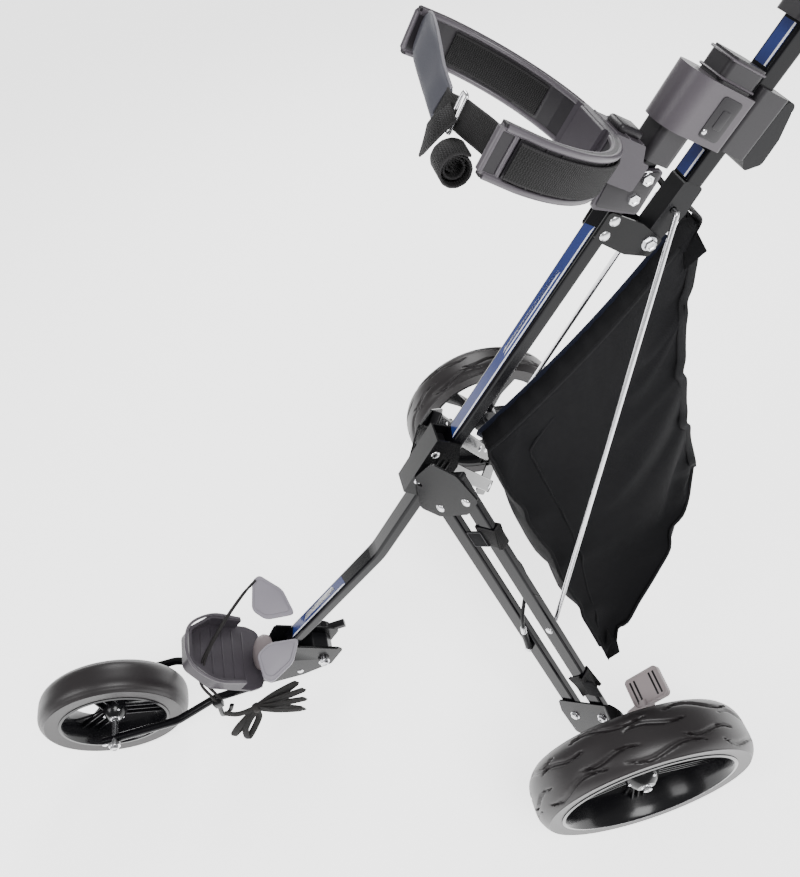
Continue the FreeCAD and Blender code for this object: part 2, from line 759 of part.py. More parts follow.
def build_wheel(prefix, suffix, frame, radius, rim_radius, width, hub_radius, spokes):
    """A wheel: a solid tyre and a moulded rim with a hub and a few broad spokes."""
    half = width / 2
    shoulder = radius - size("tyre_shoulder")
    tyre = revolved(
        prefix + "_tyre_body" + suffix, frame,
        [(rim_radius, -half + 2), (shoulder, -half), (radius, -half * TREAD_SHARE),
         (radius, half * TREAD_SHARE), (shoulder, half), (rim_radius, half - 2)],
        6.0,
    )
    node(tyre, prefix + "_tyre" + suffix)
    inset = size("rim_inset")
    seat = rim_radius - 0.3
    inside = rim_radius - size("rim_wall")
    barrel = revolved(
        prefix + "_barrel" + suffix, frame,
        [(inside, inset - half), (seat, inset - half), (seat, half - inset), (inside, half - inset)],
        1.5,
    )
    bore = size("axle_radius") + size("hub_gap")
    back = size("hub_inset") - half
    front = half - size("hub_inset") - size("rim_inset")
    hub = revolved(
        prefix + "_hub" + suffix, frame,
        [(bore, back), (hub_radius, back), (hub_radius, front), (bore, front)], 1.0,
    )
    arms = []
    for index in range(spokes):
        arm = document.addObject("Part::Box", prefix + "_spoke" + suffix)
        arm.Length = rim_radius - hub_radius
        bind(arm, Width="Sizes.spoke_depth", Height="Sizes.spoke_width")
        turn = Placement(Vector(), Rotation(Y_AXIS, 360.0 * index / spokes))
        start = Vector(hub_radius - 3, -size("spoke_depth") / 2, -size("spoke_width") / 2)
        arm.Placement = frame.multiply(turn).multiply(Placement(start, Rotation()))
        arms.append(arm)
    node(joined(prefix + "_rim_body" + suffix, [barrel, hub] + arms), prefix + "_rim" + suffix)


def build_rear_wheels():
    """The two rear wheels, outside the legs."""
    radius = size("rear_wheel_radius")
    for side in (1, -1):
        frame = wheel_frame(0.0, side * size("track") / 2, radius)
        build_wheel("rear", "_" + SIDE_NAMES[side], frame, radius, radius - size("rear_tyre_depth"),
                    size("rear_tyre_width"), size("rear_hub_radius"), int(size("rear_spokes")))


def build_front_wheel():
    """The front wheel in its fork."""
    radius = size("front_wheel_radius")
    frame = wheel_frame(size("wheelbase"), 0.0, radius)
    build_wheel("front", "", frame, radius, radius - size("front_tyre_depth"), size("front_tyre_width"),
                size("front_hub_radius"), int(size("front_spokes")))


# ---------------------------------------------------------------- front fork and lower cradle

KNUCKLE_SIDE = (
    (378, 84), (386, 68), (424, 62), (452, 84), (462, 116), (444, 122), (432, 112), (400, 124), (380, 106),
)
FORK_PLATE = ((446, 176), (364, 110), (359, 100), (388, 66), (440, 58), (494, 64), (506, 90), (474, 136))
WING = ((2.0, 21.0), (-44.0, 22.0), (-30.0, 66.0), (4.0, 96.0), (16.0, 88.0), (22.0, 40.0))


def bent_rod(name, frame, corners, radii, radius):
    """A round bar along straight runs joined by tangent arcs, in three dimensions."""
    edges = []
    start = corners[0]
    for index in range(1, len(corners) - 1):
        before = (corners[index - 1] - corners[index]).normalize()
        after = (corners[index + 1] - corners[index]).normalize()
        half = before.getAngle(after) / 2
        bend = radii[index - 1]
        reach = bend / math.tan(half)
        first = corners[index] + before * reach
        last = corners[index] + after * reach
        middle = corners[index] + (before + after).normalize() * (bend / math.sin(half) - bend)
        edges.append(Part.LineSegment(start, first).toShape())
        edges.append(Part.Arc(first, middle, last).toShape())
        start = last
    edges.append(Part.LineSegment(start, corners[-1]).toShape())
    wire = Part.Wire(edges)
    ring = Part.Wire([Part.Circle(corners[0], corners[1] - corners[0], radius).toShape()])
    item = document.addObject("Part::Feature", name)
    item.Shape = wire.makePipeShell([ring], True, False)
    item.Placement = frame
    return item


def build_front_fork():
    """The hinge at the tube's toe, the fork, its axle and the cam knob that locks it."""
    pivot_x = size("fork_pivot_forward")
    pivot_z = size("fork_pivot_height")
    plate_side = size("fork_plate_side")
    knuckle_half = plate_side - PLATE / 2 - GAP
    knuckle = slab("knuckle_body", cart, "XZ", KNUCKLE_SIDE, 0.0, f"{2 * knuckle_half} mm", 5.0)
    hole = rod("knuckle_hole", cart, Vector(pivot_x, -40, pivot_z), Vector(pivot_x, 40, pivot_z),
               "Sizes.bolt_radius + Sizes.hole_clearance")
    toe_room = block("toe_room", lower, (-60.0, -HALF_WIDTH - 0.1, -HALF_DEPTH - 0.1),
                     (4.0, HALF_WIDTH + 0.1, HALF_DEPTH + 30))
    toe_frame = Placement(lower.Base, Rotation(Y_AXIS, size("lower_slope") + size("toe_turn")))
    toe = block("toe_socket", toe_frame, (-2.0, -HALF_WIDTH - 0.1, -HALF_DEPTH - 0.1),
                (size("toe_length") + 0.2, HALF_WIDTH + 0.1, HALF_DEPTH + 0.1))
    node(cut("knuckle", knuckle, joined("knuckle_tools", [hole, toe_room, toe])), "hinge_knuckle")
    for side in (1, -1):
        name = "fork_plate_" + SIDE_NAMES[side]
        plate = slab(name + "_body", cart, "XZ", FORK_PLATE, side * plate_side, "Sizes.plate_thickness", 5.0)
        hole = rod(name + "_hole", cart, Vector(pivot_x, -40, pivot_z), Vector(pivot_x, 40, pivot_z),
                   "Sizes.bolt_radius + Sizes.hole_clearance")
        node(cut(name + "_drilled", plate, hole), name)
    outside = plate_side + PLATE / 2
    left_end = Vector(pivot_x, outside, pivot_z)
    right_end = Vector(pivot_x, -outside - 2.0, pivot_z)
    node(bolt("fork_bolt", cart, left_end, right_end), "fork_pivot_bolt")
    knob_start = Vector(pivot_x, -outside - 2.0 - size("bolt_head_height") - 0.4, pivot_z)
    drum = rod("knob_drum", cart, knob_start, knob_start - Y_AXIS * size("knob_depth"), "Sizes.knob_radius")
    tongue = block("knob_tongue", cart, (pivot_x - 46, knob_start.y - 14, pivot_z - 7),
                   (pivot_x, knob_start.y - 2, pivot_z + 7), 4.0)
    node(joined("knob", [drum, tongue]), "cam_knob")
    side_place = size("fork_half_width")
    axle_x = size("wheelbase")
    axle_z = size("front_wheel_radius")
    neck_y = size("fork_neck_side")
    neck_z = size("fork_neck_height")
    bridge_x = size("fork_bridge_forward")
    tubes = []
    for side in (1, -1):
        corners = [
            Vector(axle_x + 18, side * side_place, axle_z),
            Vector(axle_x - 101, side * side_place, (axle_z + neck_z) / 2 - 1.5),
            Vector(axle_x - 161, side * neck_y, neck_z),
            Vector(axle_x - 241, side * neck_y, neck_z),
        ]
        tubes.append(bent_rod("fork_tube", cart, corners, (40.0, 40.0), size("fork_tube_radius")))
    bridge = rod("fork_bridge", cart, Vector(bridge_x, -neck_y, neck_z), Vector(bridge_x, neck_y, neck_z),
                 "Sizes.fork_tube_radius")
    shell = joined("fork_shell", tubes + [bridge])
    middle = Vector(axle_x, 0, axle_z)
    hole = rod("fork_axle_hole", cart, middle - Y_AXIS * 80, middle + Y_AXIS * 80, "Sizes.axle_radius")
    node(cut("fork", shell, hole), "front_fork")
    end = side_place + 9.0
    axle = bolt("front_axle_bolt", cart, Vector(axle_x, -end, axle_z), Vector(axle_x, end, axle_z),
                "Sizes.axle_radius", "Sizes.axle_radius + 4", "bolt_head_height")
    node(axle, "front_axle")


def build_lower_cradle():
    """The scoop that the bag stands on, its two grey wings and the mount under it."""
    place = size("shelf_place")
    half = size("shelf_half_width")
    thick = size("shelf_thickness")
    outline = [(-half, 40), (-half * 0.86, 18), (half * 0.86, 18), (half, 40), (half, 112), (half * 0.5, 152),
               (-half * 0.5, 152), (-half, 112)]
    floor = slab("shelf_floor", lower, "YZ", outline, place, "Sizes.shelf_thickness", 16.0)
    lip_place = place - size("shelf_lip") / 2
    lip = slab("shelf_lip_outside", lower, "YZ", outline, lip_place, "Sizes.shelf_lip", 16.0)
    middle = (outline[1][1] + outline[5][1]) / 2
    shrink_z = 1 - thick / (outline[5][1] - middle)
    inner = [(y * (1 - thick / half), middle + (z - middle) * shrink_z) for y, z in outline]
    room = slab("shelf_lip_inside", lower, "YZ", inner, lip_place - 2, "Sizes.shelf_lip + 6", 14.0)
    rear_room = block(
        "shelf_rear_room", lower, (place - 40, -half - 5, -20), (place - thick / 2, half + 5, 60)
    )
    rim = cut("shelf_rim", lip, joined("shelf_rim_tools", [room, rear_room]))
    mount = block("shelf_mount", cart, (468, -16.0, 66), (560, 16.0, 116), 6.0)
    tools = []
    neck_y = size("fork_neck_side")
    neck_z = size("fork_neck_height")
    bridge_x = size("fork_bridge_forward")
    for side in (1, -1):
        tools.append(rod("fork_room", cart, Vector(bridge_x - 65, side * neck_y, neck_z),
                         Vector(bridge_x + 55, side * neck_y, neck_z), "Sizes.fork_tube_radius + 0.1"))
    tools.append(rod("bridge_room", cart, Vector(bridge_x, -neck_y, neck_z), Vector(bridge_x, neck_y, neck_z),
                     "Sizes.fork_tube_radius + 0.1"))
    node(cut("lower_cradle_body", joined("lower_cradle_shell", [floor, rim, mount]),
             joined("lower_cradle_tools", tools)), "lower_cradle")
    for side in (1, -1):
        name = SIDE_NAMES[side]
        wing = [(x, side * y) for x, y in WING]
        lean = Rotation(Y_AXIS, size("wing_pitch")).multiply(Rotation(X_AXIS, side * size("wing_splay")))
        tilt = Placement(Vector(AXLE_X + size("wing_forward"), 0, size("wing_height")), lean)
        node(slab("wing_" + name, tilt, "XY", wing, 0.0, "5 mm", 8.0), "cradle_wing_" + name)


# ---------------------------------------------------------------- handle, lock and push rods

def build_handle():
    """The folding handle: its hinge block, tube, latch, angle joint, bar and grips."""
    pivot_x = size("handle_pivot_along")
    pivot_z = -size("handle_pivot_behind")
    middle = -size("handle_setback")
    outline = [(-10.0, HANDLE_FRONT), (20.0, HANDLE_FRONT), (pivot_x + 9, pivot_z + 8),
               (pivot_x + 9, pivot_z - 8), (20.0, HANDLE_BACK - 4), (-10.0, HANDLE_BACK - 2)]
    block_width = "Sizes.tube_width - 2 * Sizes.running_gap"
    base = slab("hinge_block_body", upper, "XZ", outline, 0.0, block_width, 4.0)
    pivot_hole = rod("hinge_block_hole", upper, Vector(pivot_x, -20, pivot_z), Vector(pivot_x, 20, pivot_z),
                     "Sizes.bolt_radius + Sizes.hole_clearance")
    crank_x = pivot_x - size("crank_length")
    crank_hole = rod("crank_hole", upper, Vector(crank_x, -20, middle + 2), Vector(crank_x, 20, middle + 2),
                     "Sizes.rod_radius + 0.5")
    wall = size("tube_wall")
    top = -size("handle_length")
    tube_room = block("tube_room", upper, (top, -HALF_WIDTH + 2, HANDLE_BACK + 1.9),
                      (-2.0, HALF_WIDTH - 2, HANDLE_FRONT - 1.9))
    node(drilled("hinge_block", base, [pivot_hole, crank_hole, tube_room]), "hinge_block")
    outside = block("handle_tube_outside", upper, (top, -HALF_WIDTH, HANDLE_BACK),
                    (-10.2, HALF_WIDTH, HANDLE_FRONT), 4.0)
    inside = block("handle_tube_inside", upper, (top - 1, -HALF_WIDTH + wall, HANDLE_BACK + wall),
                   (0, HALF_WIDTH - wall, HANDLE_FRONT - wall), 2.4)
    node(cut("handle_tube_body", outside, inside), "handle_tube")
    wide = size("lock_half_width")
    lock_back = HANDLE_BACK - size("lock_wall")
    lock = block("lock_outside", upper, (CLAMP_TOP - 12, -wide, lock_back),
                 (CLAMP_FOOT - 2, wide, HANDLE_FRONT - 3.6), 5.0)
    lock_room = block("lock_room", upper, (CLAMP_TOP - 20, -HALF_WIDTH - FIT, HANDLE_BACK - FIT),
                      (CLAMP_FOOT + 10, HALF_WIDTH + FIT, HANDLE_FRONT + 5), 4.0)
    node(cut("lock_shell", lock, lock_room), "lock_body")
    knuckle = size("lever_knuckle")
    lever_x = CLAMP_TOP - knuckle
    lever_z = lock_back - GAP - knuckle
    length = size("lever_length")
    outline = [(lever_x, lever_z + knuckle), (lever_x + length * 0.84, lever_z + knuckle),
               (lever_x + length, lever_z - 2), (lever_x + length * 0.8, lever_z - 17),
               (lever_x + length * 0.4, lever_z - 15), (lever_x, lever_z - knuckle)]
    paddle = slab("lever_paddle", upper, "XZ", outline, 0.0, "2 * Sizes.lock_half_width - 6", 5.0)
    barrel = rod("lever_barrel", upper,
                 Vector(lever_x, 3 - wide, lever_z), Vector(lever_x, wide - 3, lever_z),
                 "Sizes.lever_knuckle")
    lever = joined("lever_body", [paddle, barrel])
    node(lever, "lock_lever")
    joint_top = top - 20.0
    joint_foot = joint_top + size("joint_length")
    joint = block("angle_joint_outside", upper, (joint_top, -20.0, HANDLE_BACK - 8),
                  (joint_foot, 20.0, HANDLE_FRONT + 8), 8.0)
    joint_room = block("angle_joint_room", upper, (top, -HALF_WIDTH - FIT, HANDLE_BACK - FIT),
                       (joint_foot + 8, HALF_WIDTH + FIT, HANDLE_FRONT + FIT), 4.0)
    node(cut("angle_joint", joint, joint_room), "angle_joint")
    hinge = upper.multVec(Vector(joint_top - 16.0, 0, middle))
    fork = rod("bar_hinge", Placement(), hinge - Vector(0, 19, 0), hinge + Vector(0, 19, 0), "15 mm")
    reach = hinge + Vector(-size("bar_back"), 0, size("bar_rise"))
    neck = rod("bar_neck", Placement(), hinge, reach, "Sizes.handle_bar_radius + 3")
    half_bar = size("grip_length") + size("grip_start")
    bar = rod("bar_cross", Placement(), reach - Vector(0, half_bar, 0), reach + Vector(0, half_bar, 0),
              "Sizes.handle_bar_radius")
    node(joined("handle_bar_body", [fork, neck, bar]), "handle_bar")
    grips = []
    for side in (1, -1):
        start = reach + Y_AXIS * side * size("grip_start")
        end = reach + Y_AXIS * side * half_bar
        outer = rod("grip_outside", Placement(), start, end, "Sizes.grip_radius")
        bore = rod("grip_bore", Placement(), start, end, "Sizes.handle_bar_radius")
        grips.append(cut("grip_" + SIDE_NAMES[side], outer, bore))
    node(grouped("grips", grips), "handle_grips")


def build_push_rods():
    """The steel rods that push the legs together as the handle folds."""
    crank_x = size("handle_pivot_along") - size("crank_length")
    crank = upper.multVec(Vector(crank_x, 0, 2.0 - size("handle_setback")))
    radius = size("rod_radius")
    hook_side = HALF_WIDTH - GAP + 1.2
    for side in (1, -1):
        name = SIDE_NAMES[side]
        frame = LEGS[side]
        along = size("rod_foot_along")
        hook = Vector(crank.x, side * hook_side, crank.z)
        top = Vector(crank.x, side * (size("rod_side") + 3.6), crank.z)
        behind = BAR_BACK - size("rivet_head_height") - size("rod_end_gap") - radius
        foot = frame.multVec(leg_point(side, along, LINK_Y, behind))
        node(bent_rod("rod_" + name, Placement(), [hook, top, foot], (3.6,), radius), "push_rod_" + name)
        pin_top = leg_point(side, along, LINK_Y, BAR_TOP)
        pin = rivet("rod_pin_" + name, frame, pin_top, leg_point(side, along, LINK_Y, BAR_BACK))
        node(pin, "rod_pin_" + name)


# ---------------------------------------------------------------- brake, soft pieces

PEDAL_PLACE = (-38.0, 268.0, 234.0)
ADJUSTER_LIFT = 5.2
CABLE_RUN = (
    (226.0, 8.0, 2.3), (204.0, 17.0, 1.5), (184.0, 25.0, -7.5), (164.0, 34.0, -18.0),
    (143.0, 43.0, -23.0), (120.0, 48.0, -22.5), (102.0, 49.3, -17.0), (95.0, 49.3, -9.9),
)
ELASTIC_RUN = (
    (458, -80, 222), (500, -76, 216), (545, -70, 206), (584, -50, 198), (606, -18, 192),
    (606, 20, 184), (586, 50, 172), (556, 66, 160),
)
BAG_CROWN = (-186, 10, 722)
BAG_FRONT = (66, 16, 478)
BAG_LIP = (-226, 24, 300)
BAG_FOOT = (-26, 176, 146)


def build_brake():
    """The foot pedal on the left axle and the adjuster at the end of the brake cable."""
    axle_z = size("rear_wheel_radius")
    collar_in = size("pedal_collar_inner")
    collar_out = collar_in + size("pedal_collar_width")
    collar = rod("pedal_collar", cart, Vector(0, collar_in, axle_z), Vector(0, collar_out, axle_z),
                 "2 * Sizes.axle_radius")
    pad_frame = Placement(Vector(AXLE_X, 0, 0) + Vector(*PEDAL_PLACE), Rotation(Y_AXIS, size("pedal_slope")))
    half = size("pedal_length") / 2
    wide = size("pedal_width") / 2
    pad = slab("pedal_pad", pad_frame, "XY", rectangle(half, wide), 0.0, "7 mm", 6.0)
    pad_x, _, pad_z = PEDAL_PLACE
    outline = [
        (4, axle_z + 4), (-6, axle_z - 2), (pad_x - 3, pad_z - 6), (pad_x + 11, pad_z + 1), (-8, pad_z - 25),
    ]
    arm = slab("pedal_arm", cart, "XZ", outline, (collar_in + collar_out) / 2 - 1, "8 mm", 3.0)
    shell = joined("pedal_shell", [collar, pad, arm])
    bore = rod("pedal_bore", cart, Vector(0, collar_in - 2, axle_z), Vector(0, collar_out + 2, axle_z),
               "Sizes.axle_radius + Sizes.hole_clearance")
    node(cut("pedal", shell, bore), "brake_pedal")
    frame = LEGS[1]
    screw = rod("adjuster_screw", frame, Vector(258, -2, BAR_TOP), Vector(258, -2, BAR_TOP + 8), "5 mm")
    body = rod("adjuster_body", frame, Vector(256, -1, BAR_TOP + ADJUSTER_LIFT), Vector(*CABLE_RUN[0]),
               "4.5 mm")
    node(joined("adjuster", [screw, body]), "cable_adjuster")


def solid_from_faces(name, faces):
    """A closed solid from flat faces, each a list of corner points."""
    shells = [Part.Face(Part.makePolygon(face + [face[0]])) for face in faces]
    item = document.addObject("Part::Feature", name)
    item.Shape = Part.Solid(Part.Shell(shells))
    return item


def build_storage_bag():
    """The cloth pouch that hangs between the legs, as a plain closed solid."""
    right, left = 0, 1
    crown, front, lip, foot = (
        [Vector(AXLE_X + forward, side * wide, height) for side in (-1, 1)]
        for forward, wide, height in (BAG_CROWN, BAG_FRONT, BAG_LIP, BAG_FOOT)
    )
    faces = [
        [crown[right], front[right], front[left]],
        [crown[right], front[left], crown[left]],
        [crown[left], front[left], foot[left]],
        [crown[left], foot[left], lip[left]],
        [crown[right], foot[right], front[right]],
        [crown[right], lip[right], foot[right]],
        [crown[right], crown[left], lip[left]],
        [crown[right], lip[left], lip[right]],
        [front[right], foot[right], foot[left]],
        [front[right], foot[left], front[left]],
        [lip[right], lip[left], foot[left]],
        [lip[right], foot[left], foot[right]],
    ]
    node(solid_from_faces("bag", faces), "storage_bag")


def route(points):
    """The largest arc radius that each inner point of a cord's route has room for."""
    radii = []
    for before, here, after in zip(points, points[1:], points[2:]):
        run = min((here - before).Length, (after - here).Length)
        turn = (here - before).getAngle(after - here)
        radii.append(0.45 * run / math.tan(turn / 2))
    return radii


def build_straps():
    """The strap across the upper cradle, the elastic strap on the lower one and the brake cable."""
    reach = CRADLE_CENTRE + 18.0
    half = size("strap_width") / 2
    span = size("cradle_radius") - 14.0
    strap = block("strap_band", upper, (CRADLE_MIDDLE - half, -span, reach),
                  (CRADLE_MIDDLE + half, span, reach + size("strap_thickness")))
    node(strap, "cradle_strap")
    points = [Vector(*place) for place in ELASTIC_RUN]
    band = bent_rod("elastic_band", cart, points, route(points), size("cable_radius"))
    node(band, "elastic_strap")
    frame = LEGS[1]
    points = [Vector(*place) for place in CABLE_RUN]
    node(bent_rod("cable", frame, points, route(points), size("cable_radius")), "brake_cable")


build_main_tube()
build_frame_clamp()
build_cradle()
build_upper_bracket()
build_centre_bracket()
for leg_side in (1, -1):
    build_leg(leg_side)
build_rear_wheels()
build_front_wheel()
build_front_fork()
build_lower_cradle()
build_handle()
build_push_rods()
build_brake()
build_storage_bag()
build_straps()

document.recompute()

broken = [item.Label for item in document.Objects if {"Invalid", "Error"} & set(item.State)]
for item in NODES:
    if item.Shape.isNull() or not item.Shape.isValid() or not item.Shape.Solids:
        broken.append(item.Label)
if broken:
    raise RuntimeError("objects that failed: " + ", ".join(broken))

os.makedirs("parts", exist_ok=True)
for item in NODES:
    item.Shape.exportStep(f"parts/{item.Label}.step")
print(len(NODES), "sub-parts written")
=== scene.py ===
"""A three-wheel folding golf push cart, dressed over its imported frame. Metres, +X forward, +Z up."""

import json
import logging
import math
from collections.abc import Callable, Sequence
from dataclasses import dataclass, field
from enum import Enum

import bmesh
import bpy
from mathutils import Matrix, Vector
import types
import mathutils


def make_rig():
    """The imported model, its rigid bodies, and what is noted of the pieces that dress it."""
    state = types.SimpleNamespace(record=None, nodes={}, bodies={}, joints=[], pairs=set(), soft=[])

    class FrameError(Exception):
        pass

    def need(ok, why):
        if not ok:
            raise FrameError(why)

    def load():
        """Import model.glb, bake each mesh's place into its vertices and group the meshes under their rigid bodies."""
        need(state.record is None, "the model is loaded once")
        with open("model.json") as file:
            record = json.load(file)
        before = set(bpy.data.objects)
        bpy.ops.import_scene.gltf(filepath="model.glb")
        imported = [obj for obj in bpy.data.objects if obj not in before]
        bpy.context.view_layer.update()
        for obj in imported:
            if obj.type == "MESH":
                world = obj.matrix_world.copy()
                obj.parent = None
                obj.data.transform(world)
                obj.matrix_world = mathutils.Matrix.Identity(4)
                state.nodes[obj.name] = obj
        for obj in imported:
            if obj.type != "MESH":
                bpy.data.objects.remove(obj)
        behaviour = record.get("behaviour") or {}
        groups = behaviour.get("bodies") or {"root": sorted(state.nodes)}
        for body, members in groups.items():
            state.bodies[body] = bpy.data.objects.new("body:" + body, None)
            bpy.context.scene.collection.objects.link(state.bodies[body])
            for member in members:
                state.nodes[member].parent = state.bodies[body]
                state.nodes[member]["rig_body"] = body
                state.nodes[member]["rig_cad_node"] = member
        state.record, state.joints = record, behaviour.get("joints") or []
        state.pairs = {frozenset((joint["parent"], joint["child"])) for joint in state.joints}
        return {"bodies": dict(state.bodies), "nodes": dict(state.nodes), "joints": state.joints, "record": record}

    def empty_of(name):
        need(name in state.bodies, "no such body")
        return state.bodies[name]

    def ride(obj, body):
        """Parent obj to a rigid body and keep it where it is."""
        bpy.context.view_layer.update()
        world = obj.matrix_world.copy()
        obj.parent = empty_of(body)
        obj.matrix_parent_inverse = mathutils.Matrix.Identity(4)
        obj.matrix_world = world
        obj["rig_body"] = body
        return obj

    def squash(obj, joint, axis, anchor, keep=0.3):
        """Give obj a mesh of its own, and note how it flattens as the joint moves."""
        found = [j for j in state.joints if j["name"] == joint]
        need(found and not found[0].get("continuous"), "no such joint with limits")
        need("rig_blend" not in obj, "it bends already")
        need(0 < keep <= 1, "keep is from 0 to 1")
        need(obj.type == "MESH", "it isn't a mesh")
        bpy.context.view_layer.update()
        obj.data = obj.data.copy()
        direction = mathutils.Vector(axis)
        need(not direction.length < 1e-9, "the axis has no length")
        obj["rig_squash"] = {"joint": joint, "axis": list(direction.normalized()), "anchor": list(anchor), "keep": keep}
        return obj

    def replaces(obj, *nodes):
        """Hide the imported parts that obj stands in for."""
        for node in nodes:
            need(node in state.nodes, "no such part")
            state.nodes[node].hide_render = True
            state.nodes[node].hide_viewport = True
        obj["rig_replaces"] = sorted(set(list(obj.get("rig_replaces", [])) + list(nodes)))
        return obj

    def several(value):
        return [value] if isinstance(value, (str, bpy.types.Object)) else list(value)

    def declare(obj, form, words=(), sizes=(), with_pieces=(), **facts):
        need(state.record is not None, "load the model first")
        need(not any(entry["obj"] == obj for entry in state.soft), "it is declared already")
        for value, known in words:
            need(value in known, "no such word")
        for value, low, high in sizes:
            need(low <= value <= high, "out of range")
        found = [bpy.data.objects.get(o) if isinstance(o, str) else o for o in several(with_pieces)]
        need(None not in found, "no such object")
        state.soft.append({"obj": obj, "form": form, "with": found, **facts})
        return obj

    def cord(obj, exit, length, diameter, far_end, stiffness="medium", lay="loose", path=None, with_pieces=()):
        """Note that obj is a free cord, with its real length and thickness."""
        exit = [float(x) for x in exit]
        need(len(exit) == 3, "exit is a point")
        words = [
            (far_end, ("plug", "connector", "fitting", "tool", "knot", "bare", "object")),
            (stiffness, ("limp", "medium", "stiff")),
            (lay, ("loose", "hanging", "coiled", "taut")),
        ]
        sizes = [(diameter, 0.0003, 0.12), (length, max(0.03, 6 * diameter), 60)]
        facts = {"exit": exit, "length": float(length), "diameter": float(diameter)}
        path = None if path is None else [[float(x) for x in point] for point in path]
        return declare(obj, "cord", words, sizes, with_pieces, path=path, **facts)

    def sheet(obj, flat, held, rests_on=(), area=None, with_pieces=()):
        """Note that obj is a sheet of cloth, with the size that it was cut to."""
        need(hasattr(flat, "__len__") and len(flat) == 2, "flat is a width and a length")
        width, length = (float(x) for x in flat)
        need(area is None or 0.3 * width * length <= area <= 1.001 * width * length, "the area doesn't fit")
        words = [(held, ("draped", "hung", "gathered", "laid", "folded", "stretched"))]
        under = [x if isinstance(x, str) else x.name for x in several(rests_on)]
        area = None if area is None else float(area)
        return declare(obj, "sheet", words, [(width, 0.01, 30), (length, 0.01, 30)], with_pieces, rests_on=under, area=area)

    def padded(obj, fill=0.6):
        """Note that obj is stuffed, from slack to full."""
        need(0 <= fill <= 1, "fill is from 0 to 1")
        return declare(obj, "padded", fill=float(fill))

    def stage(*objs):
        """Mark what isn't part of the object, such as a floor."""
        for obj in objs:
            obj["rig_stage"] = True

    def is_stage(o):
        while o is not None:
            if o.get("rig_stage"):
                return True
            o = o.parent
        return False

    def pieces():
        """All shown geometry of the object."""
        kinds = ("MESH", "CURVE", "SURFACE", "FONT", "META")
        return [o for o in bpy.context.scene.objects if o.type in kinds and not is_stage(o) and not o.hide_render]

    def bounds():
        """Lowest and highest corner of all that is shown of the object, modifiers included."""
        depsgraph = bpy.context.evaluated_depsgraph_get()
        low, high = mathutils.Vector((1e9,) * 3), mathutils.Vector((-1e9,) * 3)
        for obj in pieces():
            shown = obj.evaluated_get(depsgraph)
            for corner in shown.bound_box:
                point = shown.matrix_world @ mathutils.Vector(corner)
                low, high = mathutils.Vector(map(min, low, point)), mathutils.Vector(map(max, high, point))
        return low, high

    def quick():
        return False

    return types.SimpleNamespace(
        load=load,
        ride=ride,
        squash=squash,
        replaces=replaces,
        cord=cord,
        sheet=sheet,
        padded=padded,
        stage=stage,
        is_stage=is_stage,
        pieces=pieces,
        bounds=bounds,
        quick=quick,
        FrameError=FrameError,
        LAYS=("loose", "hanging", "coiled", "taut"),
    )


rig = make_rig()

LOG = logging.getLogger("push_cart")
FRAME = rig.load()

Ring = list[Vector]
Outline = Sequence[tuple[float, float]]

SETBACK = 0.201
SIDES = {"left": 1.0, "right": -1.0}


def cart(forward: float, side: float, height: float) -> Vector:
    """A place measured forward of the rear axle."""
    return Vector((forward - SETBACK, side, height))


UPPER = Matrix.Translation(cart(-0.123, 0.0, 0.800)) @ Matrix.Rotation(math.radians(52.75), 4, "Y")
LOWER = Matrix.Translation(cart(0.431, 0.0, 0.148)) @ Matrix.Rotation(math.radians(42.2), 4, "Y")
LEG_TOP = cart(0.144, 0.045, 0.434)
LEG_FOOT = cart(0.044, 0.225, 0.085)
LEG_DOWN = (LEG_FOOT - LEG_TOP).normalized()
LEG_TURN = math.radians(44.0)
LEG_FACE = LEG_DOWN.cross(Vector((-math.sin(LEG_TURN), math.cos(LEG_TURN), 0.0))).normalized()
LEG_OUT = LEG_FACE.cross(LEG_DOWN)
LEG_LENGTH = (LEG_FOOT - LEG_TOP).length
LINK_START = -0.0076
LINK_OUT = 0.0493
BAR_FACE = -0.0029
BAR_BACK = BAR_FACE - 0.012


def leg_place(side: float, along: float, out: float, face: float) -> Vector:
    """A place on one leg: down its length, away from the cart and out of its plane."""
    place = LEG_TOP + LEG_DOWN * along + LEG_OUT * out + LEG_FACE * face
    return Vector((place.x, place.y * side, place.z))


# ---------------------------------------------------------------- finishes


class Texture(Enum):
    """How a surface is broken up."""

    PAINT = "paint"
    PLASTIC = "plastic"
    RUBBER = "rubber"
    STEEL = "steel"
    CLOTH = "cloth"
    WEBBING = "webbing"
    FILM = "film"


@dataclass(frozen=True)
class FinishSpec:
    """What one finish looks like."""

    texture: Texture
    colour: tuple[float, float, float]
    second: tuple[float, float, float]
    roughness: float
    roughness_range: float = 0.08
    metallic: float = 0.0
    coat: float = 0.0
    sheen: float = 0.0
    specular: float = 0.5
    scale: float = 300.0
    relief: float = 0.0003
    strength: float = 0.2


